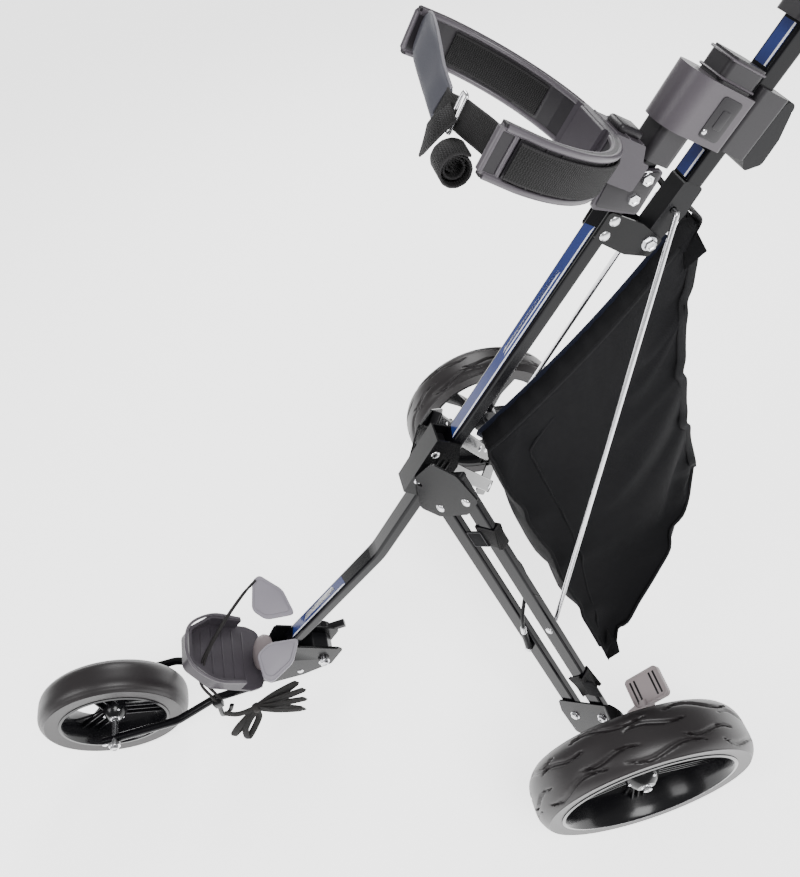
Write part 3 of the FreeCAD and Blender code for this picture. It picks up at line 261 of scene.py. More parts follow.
class Finish(Enum):
    """Every finish on the cart."""

    GLOSS_BLACK = FinishSpec(Texture.PAINT, (0.002, 0.002, 0.003), (0.004, 0.004, 0.005), 0.12, coat=0.12,
                             specular=0.14, scale=900.0)
    PRESSED_BLACK = FinishSpec(Texture.PAINT, (0.003, 0.003, 0.003), (0.006, 0.006, 0.007), 0.20, coat=0.08,
                               specular=0.14, scale=700.0)
    DARK_PLASTIC = FinishSpec(Texture.PLASTIC, (0.013, 0.012, 0.014), (0.021, 0.019, 0.022), 0.36, specular=0.35,
                              scale=1500.0)
    CRADLE_PLASTIC = FinishSpec(Texture.PLASTIC, (0.036, 0.031, 0.038), (0.052, 0.046, 0.055), 0.38, specular=0.4,
                                scale=1500.0)
    BLACK_PLASTIC = FinishSpec(Texture.PLASTIC, (0.004, 0.004, 0.005), (0.009, 0.009, 0.010), 0.34, specular=0.2,
                               scale=1500.0)
    WING_PLASTIC = FinishSpec(Texture.PLASTIC, (0.205, 0.190, 0.222), (0.250, 0.235, 0.270), 0.42, scale=1500.0)
    PEDAL_PLASTIC = FinishSpec(Texture.PLASTIC, (0.235, 0.200, 0.205), (0.290, 0.250, 0.255), 0.45, scale=1500.0)
    TYRE = FinishSpec(Texture.RUBBER, (0.012, 0.010, 0.011), (0.021, 0.018, 0.019), 0.36, scale=420.0, specular=0.42)
    RIM_BLACK = FinishSpec(Texture.PLASTIC, (0.003, 0.003, 0.004), (0.007, 0.007, 0.008), 0.18, coat=0.2,
                           specular=0.25, scale=900.0)
    BRIGHT_STEEL = FinishSpec(Texture.STEEL, (0.60, 0.60, 0.62), (0.78, 0.78, 0.80), 0.22, metallic=1.0, scale=260.0)
    BLUE_FILM = FinishSpec(Texture.FILM, (0.010, 0.020, 0.110), (0.022, 0.040, 0.170), 0.16, coat=0.3, specular=0.3,
                           scale=60.0)
    WHITE_FILM = FinishSpec(Texture.FILM, (0.72, 0.72, 0.75), (0.82, 0.82, 0.84), 0.20, coat=0.6, scale=60.0)
    POUCH_CLOTH = FinishSpec(Texture.CLOTH, (0.004, 0.004, 0.005), (0.012, 0.012, 0.013), 0.86, specular=0.2,
                             scale=620.0, relief=0.0004, strength=0.5)
    NAVY_CLOTH = FinishSpec(Texture.CLOTH, (0.006, 0.008, 0.018), (0.013, 0.016, 0.032), 0.84, specular=0.2, scale=620.0,
                            relief=0.0004, strength=0.5)
    PAD_CLOTH = FinishSpec(Texture.CLOTH, (0.050, 0.051, 0.064), (0.085, 0.086, 0.102), 0.60, specular=0.3, scale=900.0,
                           relief=0.0002, strength=0.3)
    WEBBING = FinishSpec(Texture.WEBBING, (0.003, 0.003, 0.003), (0.022, 0.021, 0.022), 0.72, specular=0.25, scale=1.0,
                         relief=0.0008, strength=0.8)
    ELASTIC = FinishSpec(Texture.WEBBING, (0.004, 0.004, 0.004), (0.028, 0.026, 0.025), 0.70, specular=0.25, scale=1.0,
                         relief=0.0006, strength=0.7)
    STITCH = FinishSpec(Texture.CLOTH, (0.060, 0.060, 0.064), (0.110, 0.110, 0.115), 0.80, scale=2500.0)
    ELASTIC_CORD = FinishSpec(Texture.RUBBER, (0.006, 0.005, 0.005), (0.014, 0.012, 0.012), 0.55, specular=0.3,
                              scale=900.0)
    HEM_CLOTH = FinishSpec(Texture.CLOTH, (0.005, 0.005, 0.006), (0.015, 0.015, 0.016), 0.80, specular=0.2, scale=900.0,
                           relief=0.0004, strength=0.5)
    PIPING = FinishSpec(Texture.CLOTH, (0.150, 0.145, 0.165), (0.210, 0.205, 0.225), 0.60, scale=1400.0)
    RIM_PLASTIC = FinishSpec(Texture.PLASTIC, (0.062, 0.055, 0.064), (0.085, 0.076, 0.088), 0.32, scale=1500.0)
    CLAMP_PLASTIC = FinishSpec(Texture.PLASTIC, (0.050, 0.043, 0.051), (0.070, 0.061, 0.072), 0.34, scale=1500.0)
    GRIP_FOAM = FinishSpec(Texture.RUBBER, (0.005, 0.005, 0.005), (0.011, 0.011, 0.011), 0.80, scale=1400.0,
                           relief=0.0006, strength=0.6)


def group_socket(group: bpy.types.NodeTree, name: str, output: bool, kind: str, value: float = 0.0) -> None:
    """Adds one named socket to a shader node group.

    Args:
        group: The group to change.
        name: The socket's name.
        output: True for an output.
        kind: The socket's type.
        value: An input's default value.
    """
    socket = group.interface.new_socket(name=name, in_out="OUTPUT" if output else "INPUT", socket_type=kind)
    if not output and kind == "NodeSocketFloat":
        socket.default_value = value


def maths(tree: bpy.types.NodeTree, operation: str, first: object, second: object = None) -> bpy.types.NodeSocket:
    """One maths step in a node tree.

    Args:
        tree: The tree to add to.
        operation: Blender's name of the step.
        first: A socket or a number.
        second: A socket, a number, or nothing.

    Returns:
        The step's output socket.
    """
    step = tree.nodes.new("ShaderNodeMath")
    step.operation = operation
    for index, value in enumerate((first, second)):
        if isinstance(value, bpy.types.NodeSocket):
            tree.links.new(value, step.inputs[index])
        elif value is not None:
            step.inputs[index].default_value = value
    return step.outputs[0]


def build_grain_group() -> bpy.types.NodeTree:
    """The shared group that gives fine grain and slow blotches over a surface.

    Returns:
        The node group, with outputs Grain and Blotch.
    """
    group = bpy.data.node_groups.new("moulded_grain", "ShaderNodeTree")
    group_socket(group, "Scale", False, "NodeSocketFloat", 300.0)
    group_socket(group, "Grain", True, "NodeSocketFloat")
    group_socket(group, "Blotch", True, "NodeSocketFloat")
    inside = group.nodes.new("NodeGroupInput")
    outside = group.nodes.new("NodeGroupOutput")
    place = group.nodes.new("ShaderNodeTexCoord")
    fine = group.nodes.new("ShaderNodeTexNoise")
    fine.inputs["Detail"].default_value = 4.0
    slow = group.nodes.new("ShaderNodeTexNoise")
    slow.inputs["Scale"].default_value = 14.0
    slow.inputs["Detail"].default_value = 3.0
    group.links.new(place.outputs["Object"], fine.inputs["Vector"])
    group.links.new(place.outputs["Object"], slow.inputs["Vector"])
    group.links.new(inside.outputs["Scale"], fine.inputs["Scale"])
    group.links.new(fine.outputs["Fac"], outside.inputs["Grain"])
    group.links.new(slow.outputs["Fac"], outside.inputs["Blotch"])
    return group


def build_weave_group() -> bpy.types.NodeTree:
    """The shared group that gives a plain weave over cloth.

    Returns:
        The node group, with outputs Thread and Fold.
    """
    group = bpy.data.node_groups.new("plain_weave", "ShaderNodeTree")
    group_socket(group, "Scale", False, "NodeSocketFloat", 600.0)
    group_socket(group, "Thread", True, "NodeSocketFloat")
    group_socket(group, "Fold", True, "NodeSocketFloat")
    inside = group.nodes.new("NodeGroupInput")
    outside = group.nodes.new("NodeGroupOutput")
    place = group.nodes.new("ShaderNodeTexCoord")
    split = group.nodes.new("ShaderNodeSeparateXYZ")
    group.links.new(place.outputs["Object"], split.inputs[0])
    waves = []
    for first, second in (("X", "Z"), ("Y", "Z")):
        lean = maths(group, "ADD" if first == "X" else "SUBTRACT", split.outputs[first], split.outputs[second])
        turns = maths(group, "MULTIPLY", lean, inside.outputs["Scale"])
        waves.append(maths(group, "SINE", maths(group, "MULTIPLY", turns, 2 * math.pi)))
    product = maths(group, "MULTIPLY", waves[0], waves[1])
    thread = maths(group, "MULTIPLY_ADD", product, 0.5)
    thread.node.inputs[2].default_value = 0.5
    slow = group.nodes.new("ShaderNodeTexNoise")
    slow.inputs["Scale"].default_value = 11.0
    slow.inputs["Detail"].default_value = 4.0
    group.links.new(place.outputs["Object"], slow.inputs["Vector"])
    group.links.new(thread, outside.inputs["Thread"])
    group.links.new(slow.outputs["Fac"], outside.inputs["Fold"])
    return group


def build_webbing_group() -> bpy.types.NodeTree:
    """The shared group that gives the ribs and edges of woven strap, from the strap's own UV map.

    Returns:
        The node group, with outputs Rib and Edge.
    """
    group = bpy.data.node_groups.new("woven_strap", "ShaderNodeTree")
    group_socket(group, "Ribs", False, "NodeSocketFloat", 450.0)
    group_socket(group, "Rib", True, "NodeSocketFloat")
    group_socket(group, "Edge", True, "NodeSocketFloat")
    inside = group.nodes.new("NodeGroupInput")
    outside = group.nodes.new("NodeGroupOutput")
    place = group.nodes.new("ShaderNodeTexCoord")
    split = group.nodes.new("ShaderNodeSeparateXYZ")
    group.links.new(place.outputs["UV"], split.inputs[0])
    across = maths(group, "MULTIPLY", split.outputs["X"], 2 * math.pi * 9.0)
    along = maths(group, "MULTIPLY", maths(group, "MULTIPLY", split.outputs["Y"], inside.outputs["Ribs"]), 2 * math.pi)
    rib = maths(group, "MULTIPLY", maths(group, "SINE", maths(group, "ADD", along, maths(group, "SINE", across))), 0.5)
    lift = maths(group, "ADD", rib, 0.5)
    middle = maths(group, "ABSOLUTE", maths(group, "SUBTRACT", split.outputs["X"], 0.5))
    edge = maths(group, "GREATER_THAN", middle, 0.44)
    group.links.new(lift, outside.inputs["Rib"])
    group.links.new(edge, outside.inputs["Edge"])
    return group


class PaintShop:
    """Builds each finish once and hands out its material."""

    def __init__(self) -> None:
        """Makes the shared node groups."""
        self.grain = build_grain_group()
        self.weave = build_weave_group()
        self.webbing = build_webbing_group()
        self.made: dict[Finish, bpy.types.Material] = {}

    def material(self, finish: Finish) -> bpy.types.Material:
        """The material of a finish.

        Args:
            finish: Which finish.

        Returns:
            Its material, built on first use.
        """
        if finish not in self.made:
            self.made[finish] = self._build(finish)
        return self.made[finish]

    def _build(self, finish: Finish) -> bpy.types.Material:
        """Builds one material.

        Args:
            finish: Which finish.

        Returns:
            The new material.
        """
        spec: FinishSpec = finish.value
        material = bpy.data.materials.new(finish.name.lower())
        material.use_nodes = True
        tree = material.node_tree
        shader = tree.nodes["Principled BSDF"]
        shader.inputs["Metallic"].default_value = spec.metallic
        shader.inputs["Coat Weight"].default_value = spec.coat
        shader.inputs["Coat Roughness"].default_value = 0.12
        shader.inputs["Sheen Weight"].default_value = spec.sheen
        shader.inputs["Sheen Roughness"].default_value = 0.4
        shader.inputs["Specular IOR Level"].default_value = spec.specular
        height, tint, shine = self._texture(tree, spec)
        mix = tree.nodes.new("ShaderNodeMix")
        mix.data_type = "RGBA"
        mix.inputs[6].default_value = (*spec.colour, 1.0)
        mix.inputs[7].default_value = (*spec.second, 1.0)
        tree.links.new(tint, mix.inputs[0])
        tree.links.new(mix.outputs[2], shader.inputs["Base Color"])
        rough = maths(tree, "MULTIPLY_ADD", shine, spec.roughness_range)
        rough.node.inputs[2].default_value = spec.roughness
        tree.links.new(rough, shader.inputs["Roughness"])
        bump = tree.nodes.new("ShaderNodeBump")
        bump.inputs["Strength"].default_value = spec.strength
        bump.inputs["Distance"].default_value = spec.relief
        tree.links.new(height, bump.inputs["Height"])
        tree.links.new(bump.outputs["Normal"], shader.inputs["Normal"])
        return material

    def _texture(self, tree: bpy.types.NodeTree, spec: FinishSpec) -> tuple:
        """The height, tint and shine sockets for a texture.

        Args:
            tree: The material's node tree.
            spec: The finish.

        Returns:
            Three sockets.
        """
        node = tree.nodes.new("ShaderNodeGroup")
        if spec.texture is Texture.CLOTH:
            node.node_tree = self.weave
            node.inputs["Scale"].default_value = spec.scale
            tint = maths(tree, "MULTIPLY", node.outputs["Thread"], node.outputs["Fold"])
            return node.outputs["Thread"], tint, node.outputs["Fold"]
        if spec.texture is Texture.WEBBING:
            node.node_tree = self.webbing
            tint = maths(tree, "ADD", maths(tree, "MULTIPLY", node.outputs["Rib"], 0.6), node.outputs["Edge"])
            return node.outputs["Rib"], tint, node.outputs["Edge"]
        node.node_tree = self.grain
        node.inputs["Scale"].default_value = spec.scale
        return node.outputs["Grain"], node.outputs["Blotch"], node.outputs["Grain"]


SHOP = PaintShop()


# ---------------------------------------------------------------- mesh helpers


def finish_piece(
    name: str, mesh: bpy.types.Mesh, finish: Finish, body: str, crease: float = 40.0, stands_for: Sequence[str] = ()
) -> bpy.types.Object:
    """Turns a mesh into a piece that rides on a body.

    Args:
        name: The piece's name.
        mesh: Its mesh, in the cart's frame.
        finish: Its finish.
        body: The body it moves with.
        crease: Edges sharper than this many degrees stay sharp.
        stands_for: The frame nodes that it replaces.

    Returns:
        The new object.
    """
    piece = bpy.data.objects.new(name, mesh)
    bpy.context.scene.collection.objects.link(piece)
    if not mesh.materials:
        mesh.materials.append(SHOP.material(finish))
    mesh.shade_smooth()
    mesh.set_sharp_from_angle(angle=math.radians(crease))
    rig.ride(piece, body)
    if stands_for:
        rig.replaces(piece, *stands_for)
    LOG.info("%s: %d faces on %s", name, len(mesh.polygons), body)
    return piece


def mesh_from(name: str, places: Sequence[Vector], faces: Sequence[Sequence[int]]) -> bpy.types.Mesh:
    """A mesh with its faces turned outward.

    Args:
        name: The mesh's name.
        places: Its corners.
        faces: Corner numbers of each face.

    Returns:
        The new mesh.
    """
    mesh = bpy.data.meshes.new(name)
    mesh.from_pydata([tuple(place) for place in places], [], [tuple(face) for face in faces])
    work = bmesh.new()
    work.from_mesh(mesh)
    bmesh.ops.recalc_face_normals(work, faces=work.faces)
    work.to_mesh(mesh)
    work.free()
    return mesh


def loft(name: str, rings: Sequence[Ring], loop: bool = False, caps: bool = True) -> bpy.types.Mesh:
    """A skin over a row of closed rings of equal count.

    Args:
        name: The mesh's name.
        rings: The rings.
        loop: True when the last ring joins the first.
        caps: True to close both ends.

    Returns:
        The new mesh.
    """
    count = len(rings[0])
    places = [place for ring in rings for place in ring]
    faces: list[Sequence[int]] = []
    spans = len(rings) if loop else len(rings) - 1
    for span in range(spans):
        here = span * count
        there = ((span + 1) % len(rings)) * count
        for step in range(count):
            after = (step + 1) % count
            faces.append((here + step, here + after, there + after, there + step))
    if caps and not loop:
        faces.append(tuple(range(count)))
        faces.append(tuple(range(len(places) - count, len(places))))
    return mesh_from(name, places, faces)


def smooth_line(points: Sequence[Vector], steps: int = 8) -> list[Vector]:
    """A smooth line through points.

    Args:
        points: The points to pass through.
        steps: Places per span.

    Returns:
        The places along the line.
    """
    ends = [points[0] * 2 - points[1], *points, points[-1] * 2 - points[-2]]
    line = []
    for index in range(1, len(ends) - 2):
        a, b, c, d = ends[index - 1: index + 3]
        for step in range(steps):
            t = step / steps
            line.append(0.5 * (2 * b + (c - a) * t + (2 * a - 5 * b + 4 * c - d) * t * t
                               + (3 * b - 3 * c + d - a) * t * t * t))
    line.append(points[-1].copy())
    return line


def sweep_rings(line: Sequence[Vector], section: Outline, up: Vector | Callable[[int], Vector]) -> list[Ring]:
    """Rings of one section carried along a line.

    Args:
        line: The line.
        section: Outline as (across, up) pairs.
        up: The section's up direction, one for all or given by place number.

    Returns:
        One ring for each place on the line.
    """
    rings = []
    for index, place in enumerate(line):
        before = line[max(index - 1, 0)]
        after = line[min(index + 1, len(line) - 1)]
        along = (after - before).normalized()
        rise = up(index) if callable(up) else up
        across = along.cross(rise).normalized()
        rise = across.cross(along).normalized()
        rings.append([place + across * x + rise * y for x, y in section])
    return rings


def circle(radius: float, count: int = 16, flat: float = 1.0) -> Outline:
    """A round outline, pressed by a share in its second direction."""
    return [
        (radius * math.cos(2 * math.pi * step / count), radius * flat * math.sin(2 * math.pi * step / count))
        for step in range(count)
    ]


def strap_mesh(
    name: str, points: Sequence[Vector], width: float, thickness: float, up: Vector | Callable[[int], Vector],
    steps: int = 8, loop: bool = False,
) -> bpy.types.Mesh:
    """A flat strap with a UV map: across its width, and along its length in metres.

    Args:
        name: The mesh's name.
        points: Places on its middle line.
        width: Its width.
        thickness: Its thickness.
        up: The direction square to its face.
        steps: Places per span.
        loop: True for a closed strap.

    Returns:
        The new mesh.
    """
    line = smooth_line(points, steps)
    half = width / 2
    rise = thickness / 2
    bevel = thickness * 0.4
    section = [(-half, -rise + bevel), (-half + bevel, -rise), (half - bevel, -rise), (half, -rise + bevel),
               (half, rise - bevel), (half - bevel, rise), (-half + bevel, rise), (-half, rise - bevel)]
    rings = sweep_rings(line, section, up)
    mesh = loft(name, rings, loop=loop)
    lengths = [0.0]
    for before, after in zip(line, line[1:]):
        lengths.append(lengths[-1] + (after - before).length)
    uv = mesh.uv_layers.new(name="UVMap")
    count = len(section)
    for loop_item in mesh.loops:
        ring, corner = divmod(loop_item.vertex_index, count)
        uv.data[loop_item.index].uv = (section[corner][0] / width + 0.5, lengths[min(ring, len(lengths) - 1)])
    return mesh


def rounded_block(name: str, place: Matrix, low: Sequence[float], high: Sequence[float], radius: float,
                  segments: int = 4) -> bpy.types.Mesh:
    """A block with rounded edges.

    Args:
        name: The mesh's name.
        place: The frame the corners are given in.
        low: Lowest corner.
        high: Highest corner.
        radius: Edge radius.
        segments: Facets across each edge.

    Returns:
        The new mesh.
    """
    work = bmesh.new()
    bmesh.ops.create_cube(work, size=1.0)
    for corner in work.verts:
        corner.co = Vector([low[axis] + (corner.co[axis] + 0.5) * (high[axis] - low[axis]) for axis in range(3)])
    bmesh.ops.bevel(work, geom=list(work.edges), offset=radius, segments=segments, affect="EDGES", profile=0.5)
    work.transform(place)
    mesh = bpy.data.meshes.new(name)
    work.to_mesh(mesh)
    work.free()
    return mesh


def plate(name: str, place: Matrix, outline: Outline, axes: str, low: float, high: float, radius: float = 0.0006,
          segments: int = 2) -> bpy.types.Mesh:
    """A flat outline given some thickness, its edges rounded.

    Args:
        name: The mesh's name.
        place: The frame the outline is given in.
        outline: Its corners.
        axes: The two axes the outline lies along, such as "XZ".
        low: Where its thickness starts along the third axis.
        high: Where its thickness ends.
        radius: Edge radius.
        segments: Facets across each edge.

    Returns:
        The new mesh.
    """
    order = {"XY": (0, 1, 2), "XZ": (0, 2, 1), "YZ": (1, 2, 0)}[axes]
    work = bmesh.new()
    corners = []
    for first, second in outline:
        place_here = Vector((0.0, 0.0, 0.0))
        place_here[order[0]] = first
        place_here[order[1]] = second
        place_here[order[2]] = low
        corners.append(work.verts.new(place_here))
    face = work.faces.new(corners)
    pushed = bmesh.ops.extrude_face_region(work, geom=[face])
    offset = Vector((0.0, 0.0, 0.0))
    offset[order[2]] = high - low
    for item in pushed["geom"]:
        if isinstance(item, bmesh.types.BMVert):
            item.co += offset
    bmesh.ops.recalc_face_normals(work, faces=work.faces)
    if radius:
        rim = [edge for edge in work.edges if len(edge.link_faces) == 2
               and edge.calc_face_angle(0.0) > math.radians(50.0)]
        bmesh.ops.bevel(work, geom=rim, offset=radius, segments=segments, affect="EDGES", profile=0.5)
    work.transform(place)
    mesh = bpy.data.meshes.new(name)
    work.to_mesh(mesh)
    work.free()
    return mesh


def rounded_outline(points: Outline, radius: float, steps: int = 5) -> Outline:
    """An outline with its corners rounded.

    Args:
        points: Its sharp corners.
        radius: Corner radius.
        steps: Places on each corner.

    Returns:
        The rounded outline.
    """
    result = []
    corners = [Vector((x, y)) for x, y in points]
    for index, here in enumerate(corners):
        before = corners[index - 1] - here
        after = corners[(index + 1) % len(corners)] - here
        reach = min(radius, 0.45 * before.length, 0.45 * after.length)
        start = here + before.normalized() * reach
        end = here + after.normalized() * reach
        for step in range(steps + 1):
            t = step / steps
            spot = start * (1 - t) ** 2 + here * 2 * t * (1 - t) + end * t * t
            result.append((spot.x, spot.y))
    return result


def joined(name: str, meshes: Sequence[bpy.types.Mesh]) -> bpy.types.Mesh:
    """Several meshes as one.

    Args:
        name: The new mesh's name.
        meshes: The meshes, which are used up.

    Returns:
        The new mesh.
    """
    work = bmesh.new()
    for mesh in meshes:
        work.from_mesh(mesh)
    result = bpy.data.meshes.new(name)
    work.to_mesh(result)
    work.free()
    for mesh in meshes:
        bpy.data.meshes.remove(mesh)
    return result


def turned(name: str, centre: Vector, axis: Vector, profile: Outline, count: int = 48,
           closed: bool = False) -> bpy.types.Mesh:
    """A shape turned about an axis.

    Args:
        name: The mesh's name.
        centre: A place on the axis.
        axis: The axis.
        profile: Its outline as (radius, place along the axis).
        count: Facets around.
        closed: True when the profile is a closed outline.

    Returns:
        The new mesh.
    """
    axis = axis.normalized()
    first = axis.orthogonal().normalized()
    second = axis.cross(first)
    rings = []
    for step in range(count):
        angle = 2 * math.pi * step / count
        out = first * math.cos(angle) + second * math.sin(angle)
        rings.append([centre + out * radius + axis * along for radius, along in profile])
    size = len(profile)
    places = [place for ring in rings for place in ring]
    faces = []
    last = size if closed else size - 1
    for step in range(count):
        here = step * size
        there = ((step + 1) % count) * size
        for corner in range(last):
            after = (corner + 1) % size
            faces.append((here + corner, there + corner, there + after, here + after))
    mesh = mesh_from(name, places, faces)
    work = bmesh.new()
    work.from_mesh(mesh)
    bmesh.ops.remove_doubles(work, verts=work.verts, dist=1e-6)
    bmesh.ops.recalc_face_normals(work, faces=work.faces)
    work.to_mesh(mesh)
    work.free()
    return mesh


def domed_head(name: str, place: Vector, out: Vector, radius: float, height: float) -> bpy.types.Mesh:
    """A domed rivet head with a small flat rim."""
    profile = [(0.0, height), (radius * 0.35, height * 0.93), (radius * 0.65, height * 0.72),
               (radius * 0.88, height * 0.38), (radius, height * 0.12), (radius, -0.0004)]
    return turned(name, place, out, profile, 20)


def hex_head(name: str, place: Vector, out: Vector, radius: float, height: float) -> bpy.types.Mesh:
    """A bolt head: six sides on a round washer, with a dimpled top."""
    washer = turned(name + "_washer", place, out,
                    [(0.0, 0.0008), (radius * 1.25, 0.0008), (radius * 1.3, 0.0003), (radius * 1.3, -0.0004)], 24)
    head = turned(name + "_head", place + out.normalized() * 0.0008, out,
                  [(0.0, height * 0.8), (radius * 0.45, height * 0.8), (radius * 0.6, height),
                   (radius * 0.92, height), (radius, height * 0.85), (radius, 0.0)], 6)
    return joined(name, [washer, head])


def dress(finish: Finish, *nodes: str) -> None:
    """Gives carried-over frame nodes a finish."""
    for name in nodes:
        node = FRAME["nodes"][name]
        node.data.materials.clear()
        node.data.materials.append(SHOP.material(finish))
        node.data.shade_smooth()
        node.data.set_sharp_from_angle(angle=math.radians(30.0))
        LOG.info("%s: frame node in %s", name, finish.name.lower())


# ---------------------------------------------------------------- wheels


@dataclass
class RoadWheel:
    """One wheel: a moulded tyre on a deep rim with a hub and a few broad spokes."""

    prefix: str
    suffix: str
    centre: Vector
    body: str
    radius: float
    width: float
    rim_radius: float
    hub_radius: float
    spokes: int
    outward: float
    flames: int = 0
    spoke_half: float = 0.013
    around: int = 264
    across: int = 44

    def groove(self, turn: float, across: float) -> float:
        """How deep the tread is cut at a place, from 0 to 1.

        Args:
            turn: The share of a full turn round the wheel.
            across: From -1 at one edge of the tread to 1 at the other.

        Returns:
            The share of the full groove depth.
        """
        depth = 0.0
        row = 1.0 if across > 0 else -1.0
        for start, length, base, swing in ((0.0, 0.82, 0.66, 0.17), (0.42, 0.60, 0.30, 0.12)):
            share = (turn * self.flames + start + (0.5 if row > 0 else 0.0)) % 1.0
            if share > length:
                continue
            run = share / length
            line = base + swing * math.sin(2 * math.pi * run) * (1.0 - 0.3 * run)
            half = 0.085 * math.sin(math.pi * run) ** 0.8 + 0.004
            gap = abs(abs(across) - line)
            edge = max(0.0, 1.0 - gap / half)
            depth = max(depth, min(1.0, edge * 2.2))
        return depth

    def tyre_profile(self) -> list[tuple[float, float, float]]:
        """The tyre's outline as radius, place along the axle, and place across the tread."""
        half = self.width / 2
        shoulder = self.radius - 0.011
        outline = []
        for step in range(5):
            t = step / 4
            outline.append((self.rim_radius + (shoulder - self.rim_radius) * t, -half + 0.002 - 0.0015 * t, -2.0))
        for step in range(self.across + 1):
            v = -1.0 + 2.0 * step / self.across
            drop = 0.011 * abs(v) ** 3.6
            outline.append((self.radius - drop, v * (half - 0.0006), v))
        for step in range(5):
            t = 1.0 - step / 4
            outline.append((self.rim_radius + (shoulder - self.rim_radius) * t, half - 0.002 + 0.0015 * t, 2.0))
        return outline

    def build_tyre(self) -> None:
        """The tyre, with its flame-shaped grooves where it has them."""
        profile = self.tyre_profile()
        rings = []
        for step in range(self.around):
            angle = 2 * math.pi * step / self.around
            out = Vector((math.cos(angle), 0.0, math.sin(angle)))
            ring = []
            for radius, along, across in profile:
                cut = 0.0
                if self.flames and abs(across) < 0.97:
                    cut = 0.0034 * self.groove(step / self.around, across)
                elif not self.flames and abs(abs(across) - 0.80) < 0.035:
                    cut = 0.0004
                ring.append(self.centre + out * (radius - cut) + Vector((0.0, along * self.outward, 0.0)))
            rings.append(ring)
        name = f"{self.prefix}_tyre{self.suffix}"
        mesh = loft(name + "_skin", rings, loop=True)
        finish_piece(name + "_skin", mesh, Finish.TYRE, self.body, 60.0, [name])

    def build_rim(self) -> None:
        """The rim's barrel, dished wall, ribbed spokes and hub."""
        half = self.width / 2
        lip = self.rim_radius - 0.0003
        axis = Vector((0.0, self.outward, 0.0))
        barrel = turned("barrel", self.centre, axis, [
            (lip, half - 0.001), (lip - 0.004, half - 0.0005), (lip - 0.006, half - 0.003),
            (lip - 0.0075, half - 0.014), (lip - 0.0125, -half * 0.1), (lip - 0.0125, -half * 0.5),
            (lip - 0.006, -half + 0.004), (lip, -half + 0.003),
        ], 96, closed=True)
        parts = [barrel]
        hub_out = half * 0.15
        parts.append(turned("hub", self.centre, axis, [
            (0.0058, hub_out + 0.016), (self.hub_radius * 0.5, hub_out + 0.016),
            (self.hub_radius * 0.72, hub_out + 0.012), (self.hub_radius, hub_out + 0.002),
            (self.hub_radius * 1.05, -half + 0.008), (0.0058, -half + 0.006),
        ], 48, closed=True))
        reach = lip - 0.011
        for index in range(self.spokes):
            turn = Matrix.Rotation(2 * math.pi * (index + 0.25) / self.spokes, 4, "Y")
            place = Matrix.Translation(self.centre) @ turn
            wide = self.spoke_half
            inner = self.hub_radius * 0.7
            waist = inner + (reach - inner) * 0.45
            outline = [(inner, -wide * 0.9), (waist, -wide * 0.62), (reach - 0.008, -wide * 1.25), (reach, -wide * 1.7),
                       (reach, wide * 1.7), (reach - 0.008, wide * 1.25), (waist, wide * 0.62), (inner, wide * 0.9)]
            low, high = sorted((-half * 0.02 * self.outward, (half * 0.02 - 0.006) * self.outward))
            parts.append(plate("spoke", place, rounded_outline(outline, 0.006), "XZ", low, high, 0.0012))
            for shift in (-0.62, 0.0, 0.62):
                rib_low = min(0.0, 0.007 * self.outward)
                rib_high = max(0.0, 0.007 * self.outward)
                parts.append(rounded_block("rib", place, (inner, rib_low, shift * wide - 0.0012),
                                           (reach - 0.001, rib_high, shift * wide + 0.0012), 0.0008, 2))
        name = f"{self.prefix}_rim{self.suffix}"
        finish_piece(name + "_cast", joined(name + "_cast", parts), Finish.RIM_BLACK, self.body, 35.0, [name])

    def build_screws(self) -> None:
        """The bright screws that hold the hub's cover, and the axle's end cap."""
        half = self.width / 2
        axis = Vector((0.0, self.outward, 0.0))
        meshes = []
        for index in range(3):
            angle = 2 * math.pi * (index + 0.1) / 3
            place = self.centre + Vector((math.cos(angle), 0.0, math.sin(angle))) * self.hub_radius * 0.82
            meshes.append(domed_head("screw", place + axis * (half * 0.15 + 0.009), axis, 0.0028, 0.0018))
        meshes.append(hex_head("axle_nut", self.centre + axis * (half * 0.15 + 0.016), axis, 0.0058, 0.0045))
        name = f"{self.prefix}_hub_screws{self.suffix}"
        finish_piece(name, joined(name, meshes), Finish.BRIGHT_STEEL, self.body)

    def build(self) -> None:
        """The whole wheel."""
        self.build_tyre()
        self.build_rim()
        self.build_screws()


# ---------------------------------------------------------------- frame tube and brackets


